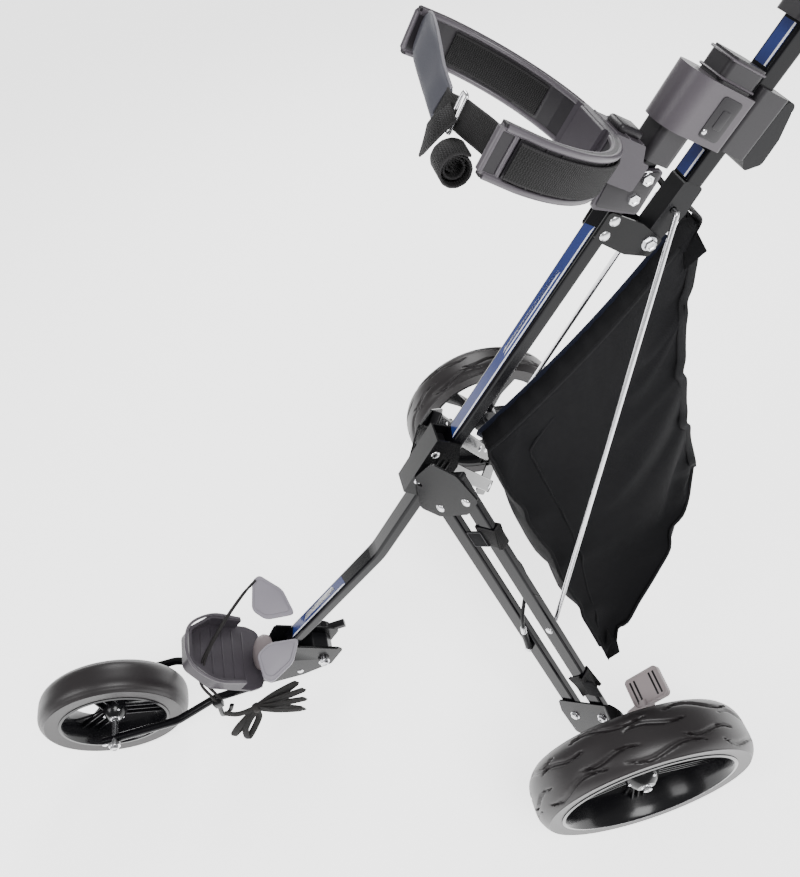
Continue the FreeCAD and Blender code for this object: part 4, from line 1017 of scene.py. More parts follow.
@dataclass
class FrameTube:
    """The bent main tube with its printed film, brackets, rivets and bolts."""

    half_width: float = 0.013
    half_depth: float = 0.009
    film: float = 0.0004
    plate_outside: float = 0.0155
    rivet_places: Outline = ((0.048, -0.002), (0.065, -0.002), (0.390, 0.022), (0.439, 0.022))
    bolt_places: Outline = ((0.0, -0.001), (0.021, -0.001))

    def stripe(self, place: Matrix, start: float, end: float, bands: Sequence[tuple[float, float, Finish]]) -> None:
        """One film label made of stripes along the tube.

        Args:
            place: The tube's frame.
            start: Where it starts along the tube.
            end: Where it ends.
            bands: Each stripe's two edges and finish.
        """
        height = self.half_depth + 0.00003
        name = f"tube_film_{len(bands)}_{int(end * 1000)}"
        for index, (left, right, finish) in enumerate(bands):
            slant = 0.006
            outline = [(start + slant, left), (end - slant, left), (end, right), (start, right)]
            lift = height + self.film * (0.55 + 0.15 * index)
            mesh = plate(f"{name}_{index}", place, outline, "XY", height, lift, 0.0)
            stands = ["tube_labels"] if index == 0 else []
            finish_piece(f"{name.replace('-', '_')}_{index}", mesh, finish, "frame", 30.0, stands)

    def build_labels(self) -> None:
        """The blue and white films, with plain stripes in place of print."""
        edge = 0.0088
        blue = (-edge, edge, Finish.BLUE_FILM)
        near_line = (edge - 0.0030, edge - 0.0006, Finish.WHITE_FILM)
        self.stripe(UPPER, 0.062, 0.364, [blue, near_line])
        self.stripe(UPPER, 0.120, 0.235, [(-0.0045, -0.0015, Finish.WHITE_FILM), (0.0005, 0.0022, Finish.WHITE_FILM)])
        self.stripe(LOWER, -0.176, -0.022, [blue, near_line])
        self.stripe(LOWER, -0.150, -0.060, [(-0.0070, 0.0015, Finish.WHITE_FILM)])

    def build_fasteners(self) -> None:
        """Domed rivets and hex bolts on both sides of the frame."""
        rivets = []
        bolts = []
        for side in SIDES.values():
            out = Vector((0.0, side, 0.0))
            for along, rise in self.rivet_places:
                rivets.append(domed_head("rivet", UPPER @ Vector((along, side * self.plate_outside, rise)), out,
                                         0.0058, 0.0024))
            for along, rise in self.bolt_places:
                bolts.append(hex_head("bolt", UPPER @ Vector((along, side * 0.0181, rise)), out, 0.0060, 0.0045))
            bolts.append(hex_head("pivot_bolt", UPPER @ Vector((0.057, side * self.plate_outside, -0.055)), out,
                                  0.0064, 0.0048))
        finish_piece("frame_rivet_heads", joined("frame_rivet_heads", rivets), Finish.BRIGHT_STEEL, "frame", 50.0,
                     ["frame_rivets"])
        finish_piece("frame_bolt_heads", joined("frame_bolt_heads", bolts), Finish.BRIGHT_STEEL, "frame", 40.0,
                     ["cradle_bolts", "handle_pivot_bolt"])
        shanks = [turned("pivot_shank", UPPER @ Vector((0.057, 0.0, -0.055)), Vector((0, 1, 0)),
                         [(0.0, -0.0155), (0.004, -0.0155), (0.004, 0.0155), (0.0, 0.0155)], 24)]
        finish_piece("handle_pivot_shank", joined("handle_pivot_shank", shanks), Finish.BRIGHT_STEEL, "frame")

    def build_ribs(self) -> None:
        """Pressed ribs on the centre bracket's cheeks, and the heads of the leg pivot pins."""
        ribs = []
        for side in SIDES.values():
            for rise in (-0.002, 0.006, 0.014):
                low = side * (self.plate_outside - 0.0005)
                high = side * (self.plate_outside + 0.0016)
                ribs.append(rounded_block("rib", UPPER, (0.396, min(low, high), rise - 0.0016),
                                          (0.452, max(low, high), rise + 0.0016), 0.0010, 3))
        finish_piece("centre_bracket_ribs", joined("centre_bracket_ribs", ribs), Finish.PRESSED_BLACK, "frame")
        pins = []
        for side in SIDES.values():
            face = leg_place(side, 0, 0, 1.0) - leg_place(side, 0, 0, 0.0)
            for along, out in ((0.0, 0.0), (LINK_START, LINK_OUT)):
                pins.append(domed_head("pin", leg_place(side, along, out, 0.0), face, 0.0062, 0.0026))
                pins.append(domed_head("pin", leg_place(side, along, out, BAR_BACK), -face, 0.0058, 0.0022))
        finish_piece("leg_pivot_heads", joined("leg_pivot_heads", pins), Finish.BRIGHT_STEEL, "frame", 50.0,
                     ["leg_pivot_pins"])

    def build(self) -> None:
        """The whole frame."""
        dress(Finish.GLOSS_BLACK, "main_tube")
        dress(Finish.PRESSED_BLACK, "centre_bracket", "upper_bracket_left", "upper_bracket_right")
        dress(Finish.BLACK_PLASTIC, "bracket_packer", "hinge_knuckle")
        self.build_labels()
        self.build_fasteners()
        self.build_ribs()


# ---------------------------------------------------------------- rear legs


@dataclass
class RearLeg:
    """One rear leg: two bars, caps, the foot bracket, its stub axle and the push rod."""

    name: str
    side: float
    bar_half: float = 0.0115
    over: float = 0.013
    tail: float = 0.034
    rod_along: float = 0.222

    @property
    def link_end(self) -> float:
        """Where the link bar's lower pivot lies along the leg."""
        return LEG_LENGTH + LINK_START

    def leg_matrix(self) -> Matrix:
        """The leg's frame as a matrix, mirrored for the right side."""
        columns = (leg_place(self.side, 1, 0, 0), leg_place(self.side, 0, 1, 0), leg_place(self.side, 0, 0, 1))
        start = leg_place(self.side, 0, 0, 0)
        matrix = Matrix.Identity(4)
        for index, column in enumerate(columns):
            matrix.col[index].xyz = column - start
        matrix.col[3].xyz = start
        return matrix

    def build_caps(self) -> None:
        """Plastic caps in the bars' open ends."""
        place = self.leg_matrix()
        inset = 0.0005
        for body, start, end, middle in (
            ("leg_", -self.over, LEG_LENGTH + self.over, 0.0),
            ("link_", LINK_START - self.tail, self.link_end + self.over, LINK_OUT),
        ):
            caps = []
            for near, far in ((start - 0.0035, start + 0.004), (end - 0.004, end + 0.0035)):
                caps.append(rounded_block(
                    "cap", place, (near, middle - self.bar_half - inset, BAR_BACK - inset),
                    (far, middle + self.bar_half + inset, BAR_FACE + inset * 0.3), 0.0022, 3))
            title = f"{body}bar_caps_{self.name}"
            finish_piece(title, joined(title, caps), Finish.BLACK_PLASTIC, body + self.name)

    def build_rivets(self) -> None:
        """The rivets through the foot bracket and the rod's pin."""
        face = leg_place(self.side, 0, 0, 1.0) - leg_place(self.side, 0, 0, 0.0)
        heads = []
        for along, out in ((LEG_LENGTH, 0.0), (self.link_end, LINK_OUT)):
            heads.append(hex_head("head", leg_place(self.side, along, out, 0.0), face, 0.0056, 0.0032))
            heads.append(domed_head("head", leg_place(self.side, along, out, BAR_BACK), -face, 0.0055, 0.0022))
        title = f"foot_rivets_{self.name}"
        finish_piece(title, joined(title, heads), Finish.BRIGHT_STEEL, "foot_" + self.name, 50.0,
                     ["axle_bracket_pins_" + self.name])
        pin = [domed_head("pin", leg_place(self.side, self.rod_along, LINK_OUT, BAR_FACE), face, 0.0055, 0.0022),
               domed_head("pin", leg_place(self.side, self.rod_along, LINK_OUT, BAR_BACK), -face, 0.0055, 0.0020)]
        title = f"rod_pin_heads_{self.name}"
        finish_piece(title, joined(title, pin), Finish.BRIGHT_STEEL, "link_" + self.name, 50.0,
                     ["rod_pin_" + self.name])

    def band(self, title: str, along: float, middle: float, width: float, body: str, lean: float = 0.0) -> None:
        """A hook-and-loop strap wrapped round one bar.

        Args:
            title: The piece's name.
            along: Its place down the leg.
            middle: The bar's middle line.
            width: The strap's width.
            body: The body it moves with.
            lean: How far it slants across the bar.
        """
        points = []
        rise = (BAR_FACE - BAR_BACK) / 2 + 0.0016
        reach = self.bar_half + 0.0018
        centre = (BAR_FACE + BAR_BACK) / 2
        count = 20
        for step in range(count + 1):
            angle = 2 * math.pi * step / count
            x = math.copysign(abs(math.cos(angle)) ** 0.35, math.cos(angle)) * reach
            z = math.copysign(abs(math.sin(angle)) ** 0.35, math.sin(angle)) * rise
            swell = 0.0006 * math.sin(3 * angle)
            points.append(leg_place(self.side, along + lean * x / reach, middle + x, centre + z + swell))
        down = leg_place(self.side, 1, 0, 0) - leg_place(self.side, 0, 0, 0)

        def square(index: int) -> Vector:
            """The strap's face direction at one place."""
            before = points[max(index // 3 - 1, 0)]
            after = points[min(index // 3 + 1, count)]
            return (after - before).cross(down)

        mesh = strap_mesh(title, points, width, 0.0016, square, 3)
        finish_piece(title, mesh, Finish.WEBBING, body, 60.0)

    def build_straps(self) -> None:
        """The pouch's straps round the link bar, the upper with a stitched patch and the lower with a tail."""
        link = "link_" + self.name
        self.band(f"upper_hook_strap_{self.name}", 0.052, LINK_OUT, 0.030, link, 0.004)
        self.band(f"lower_hook_strap_{self.name}", 0.330, LINK_OUT, 0.034, link, -0.006)
        place = self.leg_matrix()
        patch = rounded_block("patch", place, (0.040, LINK_OUT - 0.031, BAR_FACE + 0.0012),
                              (0.066, LINK_OUT - 0.006, BAR_FACE + 0.0038), 0.001, 2)
        tail = rounded_block("tail", place, (0.316, LINK_OUT + 0.004, BAR_FACE + 0.0012),
                             (0.346, LINK_OUT + 0.024, BAR_FACE + 0.0042), 0.001, 2)
        title = f"hook_strap_patches_{self.name}"
        finish_piece(title, joined(title, [patch, tail]), Finish.POUCH_CLOTH, link)
        stitches = []
        for low, high in (((0.0415, LINK_OUT - 0.0295), (0.0645, LINK_OUT - 0.0075)),):
            for along in (low[0], high[0]):
                stitches.append(rounded_block("stitch", place, (along - 0.0004, low[1], BAR_FACE + 0.0037),
                                              (along + 0.0004, high[1], BAR_FACE + 0.0043), 0.0002, 1))
            for out in (low[1], high[1]):
                stitches.append(rounded_block("stitch", place, (low[0], out - 0.0004, BAR_FACE + 0.0037),
                                              (high[0], out + 0.0004, BAR_FACE + 0.0043), 0.0002, 1))
        title = f"hook_strap_stitches_{self.name}"
        finish_piece(title, joined(title, stitches), Finish.STITCH, link)

    def build(self) -> None:
        """The whole leg."""
        dress(Finish.GLOSS_BLACK, "leg_bar_" + self.name, "link_bar_" + self.name)
        dress(Finish.PRESSED_BLACK, "axle_bracket_" + self.name)
        dress(Finish.BRIGHT_STEEL, "rear_axle_" + self.name, "push_rod_" + self.name)
        self.build_caps()
        self.build_rivets()
        self.build_straps()


# ---------------------------------------------------------------- upper cradle and lock


@dataclass
class UpperCradle:
    """The cradle that holds the bag: rimmed arms, a padded strap, webbing and their fittings."""

    centre: float = 0.185
    radius: float = 0.118
    wall: float = 0.007
    top: float = -0.026
    foot: float = 0.015
    middle: float = -0.0055

    def spot(self, side: float, angle: float, radius: float, along: float) -> Vector:
        """A place near an arm; the angle is 0 at the saddle and 90 where the tip begins."""
        turn = math.radians(min(angle, 90.0))
        tip = max(angle - 90.0, 0.0) / 14.0
        across = radius * math.sin(turn) - 0.005 * tip
        return UPPER @ Vector((along, side * across, self.centre - radius * math.cos(turn) + 0.030 * tip))

    def arm_line(self, side: float, radius: float, along: float, start: float, end: float) -> list[Vector]:
        """Places along an arm between two angles."""
        count = max(int((end - start) / 3.0), 2)
        return [self.spot(side, start + (end - start) * step / count, radius, along) for step in range(count + 1)]

    def outward(self, side: float, angle: float) -> Vector:
        """The direction square to an arm's outer face."""
        return self.spot(side, angle, 1.0, 0.0) - self.spot(side, angle, 0.9, 0.0)

    def build_rims(self) -> None:
        """Raised rims along both edges of the arms, and round the strap slots."""
        outer = self.radius + self.wall
        beads = []
        for side in SIDES.values():
            for along in (self.top + 0.0022, self.foot - 0.0022):
                line = self.arm_line(side, outer - 0.0004, along, 17.0, 103.0)
                beads.append(loft("bead", sweep_rings(line, circle(0.0030, 12), UPPER.col[0].xyz)))
                line = self.arm_line(side, self.radius + 0.0006, along, 17.0, 103.0)
                beads.append(loft("bead", sweep_rings(line, circle(0.0024, 10), UPPER.col[0].xyz)))
            beads.append(self.slot_frame(side))
        finish_piece("cradle_rims", joined("cradle_rims", beads), Finish.RIM_PLASTIC, "frame", 60.0)

    def slot_frame(self, side: float) -> bpy.types.Mesh:
        """A raised frame round one strap slot."""
        bars = []
        half = 0.0165
        for first, second in (((-half, 98.2), (half, 98.2)), ((half, 98.2), (half, 104.2)),
                              ((half, 104.2), (-half, 104.2)), ((-half, 104.2), (-half, 98.2))):
            line = [self.spot(side, a, self.radius + self.wall * 0.5, self.middle + x) for x, a in (first, second)]
            bars.append(loft("frame", sweep_rings(line, circle(0.0042, 12, 0.6), UPPER.col[0].xyz)))
        return joined("slot", bars)

    def build_ribs(self) -> None:
        """Small ribs in the channel between the rims."""
        ribs = []
        for side in SIDES.values():
            for angle in (30.0, 37.0, 44.0, 51.0, 80.0, 87.0):
                line = [self.spot(side, angle, self.radius + self.wall, x) for x in (self.top + 0.004, self.foot - 0.004)]
                ribs.append(loft("rib", sweep_rings(line, circle(0.0011, 8), self.outward(side, angle))))
        finish_piece("cradle_ribs", joined("cradle_ribs", ribs), Finish.DARK_PLASTIC, "frame")

    def build_arm_webbing(self) -> None:
        """Coarse webbing from each slot back along the arm to the saddle."""
        for name, side in SIDES.items():
            inside = side < 0
            radius = self.radius - 0.0019 if inside else self.radius + self.wall + 0.0034
            start, end = (34.0, 84.0) if inside else (24.0, 100.0)
            points = self.arm_line(side, radius, self.middle, start, end)[::2]
            turns = [start + (end - start) * step / max(len(points) - 1, 1) for step in range(len(points))]
            mesh = strap_mesh(
                "arm_webbing_" + name, points, 0.028, 0.0022,
                lambda index, turns=turns, side=side: self.outward(side, turns[min(index // 4, len(turns) - 1)]), 4)
            finish_piece("arm_webbing_" + name, mesh, Finish.WEBBING, "frame", 60.0)

    def build_pad(self) -> None:
        """The padded strap from the far slot, with light piping along its edges."""
        points = [UPPER @ Vector(place) for place in (
            (-0.0060, -0.1160, 0.2010), (-0.0080, -0.1060, 0.2075), (-0.0110, -0.0850, 0.2130), (-0.0070, -0.0500, 0.2165),
            (0.0010, -0.0150, 0.2170), (0.0080, 0.0120, 0.2150))]
        line = smooth_line(points, 10)
        square = UPPER.col[2].xyz
        rings = []
        pipes: tuple[list[Vector], list[Vector]] = ([], [])
        for index, ring in enumerate(sweep_rings(line, [(1.0, 0.0), (0.0, 1.0)], square)):
            share = index / (len(line) - 1)
            half = 0.0150 + 0.0035 * math.sin(math.pi * min(share * 1.25, 1.0))
            swell = 0.0036 + 0.0012 * math.sin(5.0 * math.pi * share)
            across = ring[0] - line[index]
            rise = ring[1] - line[index]
            row = []
            for step in range(28):
                turn = 2 * math.pi * step / 28
                x = math.copysign(abs(math.cos(turn)) ** 0.55, math.cos(turn)) * half
                y = math.copysign(abs(math.sin(turn)) ** 0.75, math.sin(turn)) * swell
                row.append(line[index] + across * x + rise * y)
            rings.append(row)
            pipes[0].append(line[index] - across * (half + 0.0003))
            pipes[1].append(line[index] + across * (half + 0.0003))
        pad = finish_piece("cradle_pad", loft("cradle_pad", rings), Finish.PAD_CLOTH, "frame", 70.0, ["cradle_strap"])
        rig.padded(pad, fill=0.7)
        piping = [loft("pipe", sweep_rings(edge, circle(0.0013, 8), square)) for edge in pipes]
        finish_piece("cradle_pad_piping", joined("cradle_pad_piping", piping), Finish.PIPING, "frame", 60.0)

    def build_buckle(self) -> None:
        """The folded webbing, its steel ring and roll, and the run to the near slot."""
        square = UPPER.col[2].xyz
        runs = {
            "pad_tail": ((0.0060, 0.0040, 0.2150), (0.0060, 0.0250, 0.2180), (0.0020, 0.0440, 0.2160)),
            "slot_run": ((0.0000, 0.0480, 0.2150), (-0.0030, 0.0700, 0.2140), (-0.0055, 0.0950, 0.2090), (-0.0055, 0.1160, 0.2030)),
            "folded_tail": ((0.0010, 0.0460, 0.2190), (0.0180, 0.0420, 0.2250), (0.0330, 0.0300, 0.2230), (0.0400, 0.0150, 0.2160)),
        }
        for title, places in runs.items():
            mesh = strap_mesh(title, [UPPER @ Vector(place) for place in places], 0.025, 0.0022, square, 8)
            finish_piece("cradle_" + title, mesh, Finish.WEBBING, "frame", 60.0)
        roll = []
        for step in range(34):
            turn = 2 * math.pi * step / 13
            reach = 0.0050 + 0.0105 * step / 33
            roll.append(UPPER @ Vector((0.0290 + reach * math.cos(turn), 0.0620 + 0.0004 * step,
                                        0.2130 + reach * math.sin(turn))))
        mesh = strap_mesh("roll", roll, 0.026, 0.0021, lambda index: self.roll_face(roll, index), 3)
        finish_piece("cradle_webbing_roll", mesh, Finish.WEBBING, "frame", 60.0)
        corners = [(-0.0150, 0.0420), (0.0160, 0.0420), (0.0160, 0.0520), (-0.0150, 0.0520)]
        rounded = rounded_outline(corners, 0.003)
        line = [UPPER @ Vector((x, y, 0.2168)) for x, y in rounded]
        ring = loft("ring", sweep_rings([*line, line[0], line[1]], circle(0.0015, 10), square))
        finish_piece("cradle_strap_ring", ring, Finish.BRIGHT_STEEL, "frame", 60.0)

    def roll_face(self, roll: Sequence[Vector], index: int) -> Vector:
        """The rolled strap's face direction at one place."""
        here = min(index // 3, len(roll) - 1)
        centre = UPPER @ Vector((0.0290, 0.0620 + 0.0004 * here, 0.2130))
        return roll[here] - centre

    def build_saddle(self) -> None:
        """Side plates, a raised ear and edge lines on the saddle."""
        panels = []
        for side in SIDES.values():
            outline = [(-0.0110, -0.0115), (0.0325, -0.0145), (0.0405, 0.0320), (0.0095, 0.0355)]
            face = 0.0183
            low, high = sorted((side * face, side * (face + 0.0012)))
            panels.append(plate("panel", UPPER, rounded_outline(outline, 0.005), "XZ", low, high, 0.0006))
        panels.append(rounded_block("ear", UPPER, (-0.0330, -0.0140, 0.0250), (-0.0240, 0.0140, 0.0520), 0.004, 4))
        finish_piece("saddle_panels", joined("saddle_panels", panels), Finish.DARK_PLASTIC, "frame")
        lips = []
        for height in (0.028, 0.044, 0.060):
            lips.append(rounded_block("lip", UPPER, (-0.0270, -0.0235, height - 0.0010),
                                      (-0.0250, 0.0235, height + 0.0010), 0.0008, 2))
        finish_piece("saddle_edges", joined("saddle_edges", lips), Finish.RIM_PLASTIC, "frame")

    def build(self) -> None:
        """The whole cradle."""
        dress(Finish.CRADLE_PLASTIC, "cradle_saddle")
        dress(Finish.DARK_PLASTIC, "cradle_arm_left", "cradle_arm_right")
        self.build_rims()
        self.build_ribs()
        self.build_arm_webbing()
        self.build_pad()
        self.build_buckle()
        self.build_saddle()


@dataclass
class FrameLock:
    """The clamp at the top of the frame tube and the latch on the handle."""

    half_width: float = 0.024

    def build(self) -> None:
        """Panels, screws and ribs over the clamp's moulded shapes."""
        dress(Finish.CLAMP_PLASTIC, "clamp_barrel")
        dress(Finish.DARK_PLASTIC, "clamp_cap", "lock_body", "frame_sleeve", "angle_joint")
        dress(Finish.BLACK_PLASTIC, "lock_lever")
        panels = []
        screws = []
        for side in SIDES.values():
            face = self.half_width
            low, high = sorted((side * (face - 0.0004), side * (face + 0.0009)))
            outline = rounded_outline([(-0.088, -0.040), (-0.051, -0.040), (-0.051, -0.016), (-0.088, -0.016)], 0.004)
            panels.append(plate("panel", UPPER, outline, "XZ", low, high, 0.0006))
            inner = rounded_outline([(-0.078, -0.034), (-0.061, -0.034), (-0.061, -0.024), (-0.078, -0.024)], 0.002)
            low, high = sorted((side * face, side * (face + 0.0016)))
            panels.append(plate("panel", UPPER, inner, "XZ", low, high, 0.0005))
            screws.append(domed_head("screw", UPPER @ Vector((-0.056, side * (face + 0.0009), -0.020)),
                                     Vector((0.0, side, 0.0)), 0.0026, 0.0012))
        finish_piece("clamp_panels", joined("clamp_panels", panels), Finish.DARK_PLASTIC, "frame")
        finish_piece("clamp_screws", joined("clamp_screws", screws), Finish.BRIGHT_STEEL, "frame")
        band = [rounded_block("band", UPPER, (x - 0.0012, -0.0190, -0.047), (x + 0.0012, 0.0190, -0.0050), 0.0012, 3)
                for x in (-0.113, -0.0975)]
        finish_piece("clamp_cap_bands", joined("clamp_cap_bands", band), Finish.CLAMP_PLASTIC, "frame")
        ribs = [rounded_block("rib", UPPER, (x - 0.0010, -0.0150, -0.1105), (x + 0.0010, 0.0150, -0.1020), 0.0008, 2)
                for x in (-0.072, -0.066, -0.060, -0.054)]
        finish_piece("lock_lever_ribs", joined("lock_lever_ribs", ribs), Finish.BLACK_PLASTIC, "lever")


@dataclass
class FoldingHandle:
    """The folding handle with its film, bolts and grips."""

    def build(self) -> None:
        """Finishes, stripes, hinge bolts and grip rings."""
        dress(Finish.GLOSS_BLACK, "handle_tube", "handle_bar")
        dress(Finish.BLACK_PLASTIC, "hinge_block")
        dress(Finish.GRIP_FOAM, "handle_grips")
        edge = 0.0088
        for title, start, end in (("low", -0.040, -0.012), ("high", -0.156, -0.119)):
            for index, (left, right, finish) in enumerate(((-edge, edge, Finish.BLUE_FILM),
                                                           (edge - 0.003, edge - 0.0006, Finish.WHITE_FILM))):
                outline = [(start, left), (end, left), (end, right), (start, right)]
                mesh = plate("film", UPPER, outline, "XY", -0.0480, -0.04775 + 0.0001 * index, 0.0)
                finish_piece(f"handle_film_{title}_{index}", mesh, finish, "handle")
        bolts = []
        for side in SIDES.values():
            bolts.append(hex_head("bolt", UPPER @ Vector((-0.170, side * 0.0200, -0.059)), Vector((0.0, side, 0.0)),
                                  0.0056, 0.0040))
        finish_piece("angle_joint_bolts", joined("angle_joint_bolts", bolts), Finish.BRIGHT_STEEL, "handle")
        hinge = UPPER @ Vector((-0.251, 0.0, -0.059))
        bar = hinge + Vector((-0.118, 0.0, 0.062))
        ends = []
        rings = []
        for side in SIDES.values():
            out = Vector((0.0, side, 0.0))
            ends.append(hex_head("bolt", hinge + out * 0.0188, out, 0.0060, 0.0042))
            for reach in (0.0235, 0.050, 0.0765, 0.103, 0.1255):
                rings.append(turned("ring", bar + out * reach, out, [
                    (0.0138, -0.0014), (0.0146, -0.0008), (0.0146, 0.0008), (0.0138, 0.0014)], 32))
        finish_piece("handle_hinge_bolts", joined("handle_hinge_bolts", ends), Finish.BRIGHT_STEEL, "bar")
        finish_piece("handle_grip_rings", joined("handle_grip_rings", rings), Finish.GRIP_FOAM, "bar")


# ---------------------------------------------------------------- front fork and lower cradle


@dataclass
class FrontFork:
    """The fork, its hinge plates, bolts and the cam knob."""

    def build(self) -> None:
        """Finishes, bolts, plate lips and the knob's ribs."""
        dress(Finish.GLOSS_BLACK, "front_fork")
        dress(Finish.PRESSED_BLACK, "fork_plate_left", "fork_plate_right")
        dress(Finish.BRIGHT_STEEL, "front_axle", "fork_pivot_bolt")
        dress(Finish.BLACK_PLASTIC, "cam_knob", "hinge_knuckle")
        bolts = []
        for side in SIDES.values():
            out = Vector((0.0, side, 0.0))
            bolts.append(hex_head("bolt", cart(0.741, side * 0.0655, 0.115), out, 0.0068, 0.0046))
            bolts.append(domed_head("bolt", cart(0.757, side * 0.0584, 0.115), out, 0.0042, 0.0020))
            for forward, height in ((0.440, 0.072), (0.480, 0.080)):
                bolts.append(domed_head("rivet", cart(forward, side * 0.0188, height), out, 0.0052, 0.0022))
        bolts.append(hex_head("bolt", cart(0.395, 0.0232, 0.088), Vector((0.0, 1.0, 0.0)), 0.0072, 0.0045))
        finish_piece("fork_bolts", joined("fork_bolts", bolts), Finish.BRIGHT_STEEL, "fork")
        lips = []
        for side in SIDES.values():
            line = [cart(x, side * 0.0188, z) for x, z in ((0.366, 0.109), (0.405, 0.142), (0.444, 0.173))]
            lips.append(loft("lip", sweep_rings(smooth_line(line, 6), circle(0.0013, 8), Vector((0.0, 1.0, 0.0)))))
        finish_piece("fork_plate_lips", joined("fork_plate_lips", lips), Finish.PRESSED_BLACK, "fork")
        centre = cart(0.395, -0.0411, 0.088)
        rim = [turned("knob_rim", centre, Vector((0.0, -1.0, 0.0)), [
            (0.0120, 0.0), (0.0140, 0.0012), (0.0175, 0.0012), (0.0195, -0.0004)], 40)]
        for step in range(18):
            turn = 2 * math.pi * step / 18
            out = Vector((math.cos(turn), 0.0, math.sin(turn)))
            line = [centre + out * 0.0209 + Vector((0.0, shift, 0.0)) for shift in (0.0010, 0.0140)]
            rim.append(loft("grip", sweep_rings(line, circle(0.0012, 6), out)))
        finish_piece("cam_knob_grips", joined("cam_knob_grips", rim), Finish.RIM_BLACK, "fork_lock")


@dataclass
class LowerCradle:
    """The scoop that the bag stands on, with its wings and wedge."""

    half: float = 0.056
    lip: float = 0.0420
    wing: Outline = ((0.002, 0.021), (-0.044, 0.022), (-0.030, 0.066), (0.004, 0.096), (0.016, 0.088), (0.022, 0.040))

    def build_rim(self) -> None:
        """A light bead along the scoop's lip."""
        half = self.half
        outline = [(-half, 0.062), (-half, 0.112), (-half * 0.5, 0.152), (half * 0.5, 0.152), (half, 0.112), (half, 0.062)]
        line = smooth_line([LOWER @ Vector((self.lip, y, z)) for y, z in outline], 10)
        bead = loft("bead", sweep_rings(line, circle(0.0024, 10), LOWER.col[0].xyz))
        finish_piece("scoop_rim", bead, Finish.RIM_PLASTIC, "fork", 60.0)

    def build_floor(self) -> None:
        """Shallow ribs across the scoop's floor and the wedge behind it."""
        ribs = []
        for height in (0.050, 0.068, 0.086, 0.104, 0.122):
            wide = self.half * (0.80 if height < 0.11 else 0.62)
            ribs.append(rounded_block("rib", LOWER, (0.0628, -wide, height - 0.0012), (0.0640, wide, height + 0.0012),
                                      0.0005, 2))
        finish_piece("scoop_ribs", joined("scoop_ribs", ribs), Finish.CRADLE_PLASTIC, "fork")
        wedge = []
        for step in range(9):
            share = step / 8
            swell = 0.010 + 0.010 * math.sin(math.pi * share * 0.9)
            row = []
            for turn_step in range(20):
                turn = 2 * math.pi * turn_step / 20
                row.append(LOWER @ Vector((0.024 + 0.034 * share + 0.004 * math.sin(turn),
                                           (0.010 + swell) * math.cos(turn), 0.026 + swell * 0.6 * math.sin(turn))))
            wedge.append(row)
        finish_piece("scoop_wedge", loft("scoop_wedge", wedge), Finish.PEDAL_PLASTIC, "fork", 60.0)

    def build_wings(self) -> None:
        """Each wing as a rounded plate with a raised panel on it."""
        for name, side in SIDES.items():
            tilt = (Matrix.Translation(cart(0.452, 0.0, 0.190)) @ Matrix.Rotation(math.radians(-16.0), 4, "Y")
                    @ Matrix.Rotation(math.radians(side * 14.0), 4, "X"))
            outline = rounded_outline([(x, side * y) for x, y in self.wing], 0.009, 8)
            parts = [plate("wing", tilt, outline, "XY", -0.0025, 0.0025, 0.0020, 4)]
            inner = [(x * 0.84 - 0.0005, side * (0.053 + (abs(y) - 0.053) * 0.80)) for x, y in outline]
            parts.append(plate("panel", tilt, inner, "XY", 0.0020, 0.0032, 0.0010, 3))
            title = "cradle_wing_shell_" + name
            finish_piece(title, joined(title, parts), Finish.WING_PLASTIC, "fork", 50.0, ["cradle_wing_" + name])

    def build(self) -> None:
        """The whole lower cradle."""
        dress(Finish.CRADLE_PLASTIC, "lower_cradle")
        self.build_rim()
        self.build_floor()
        self.build_wings()


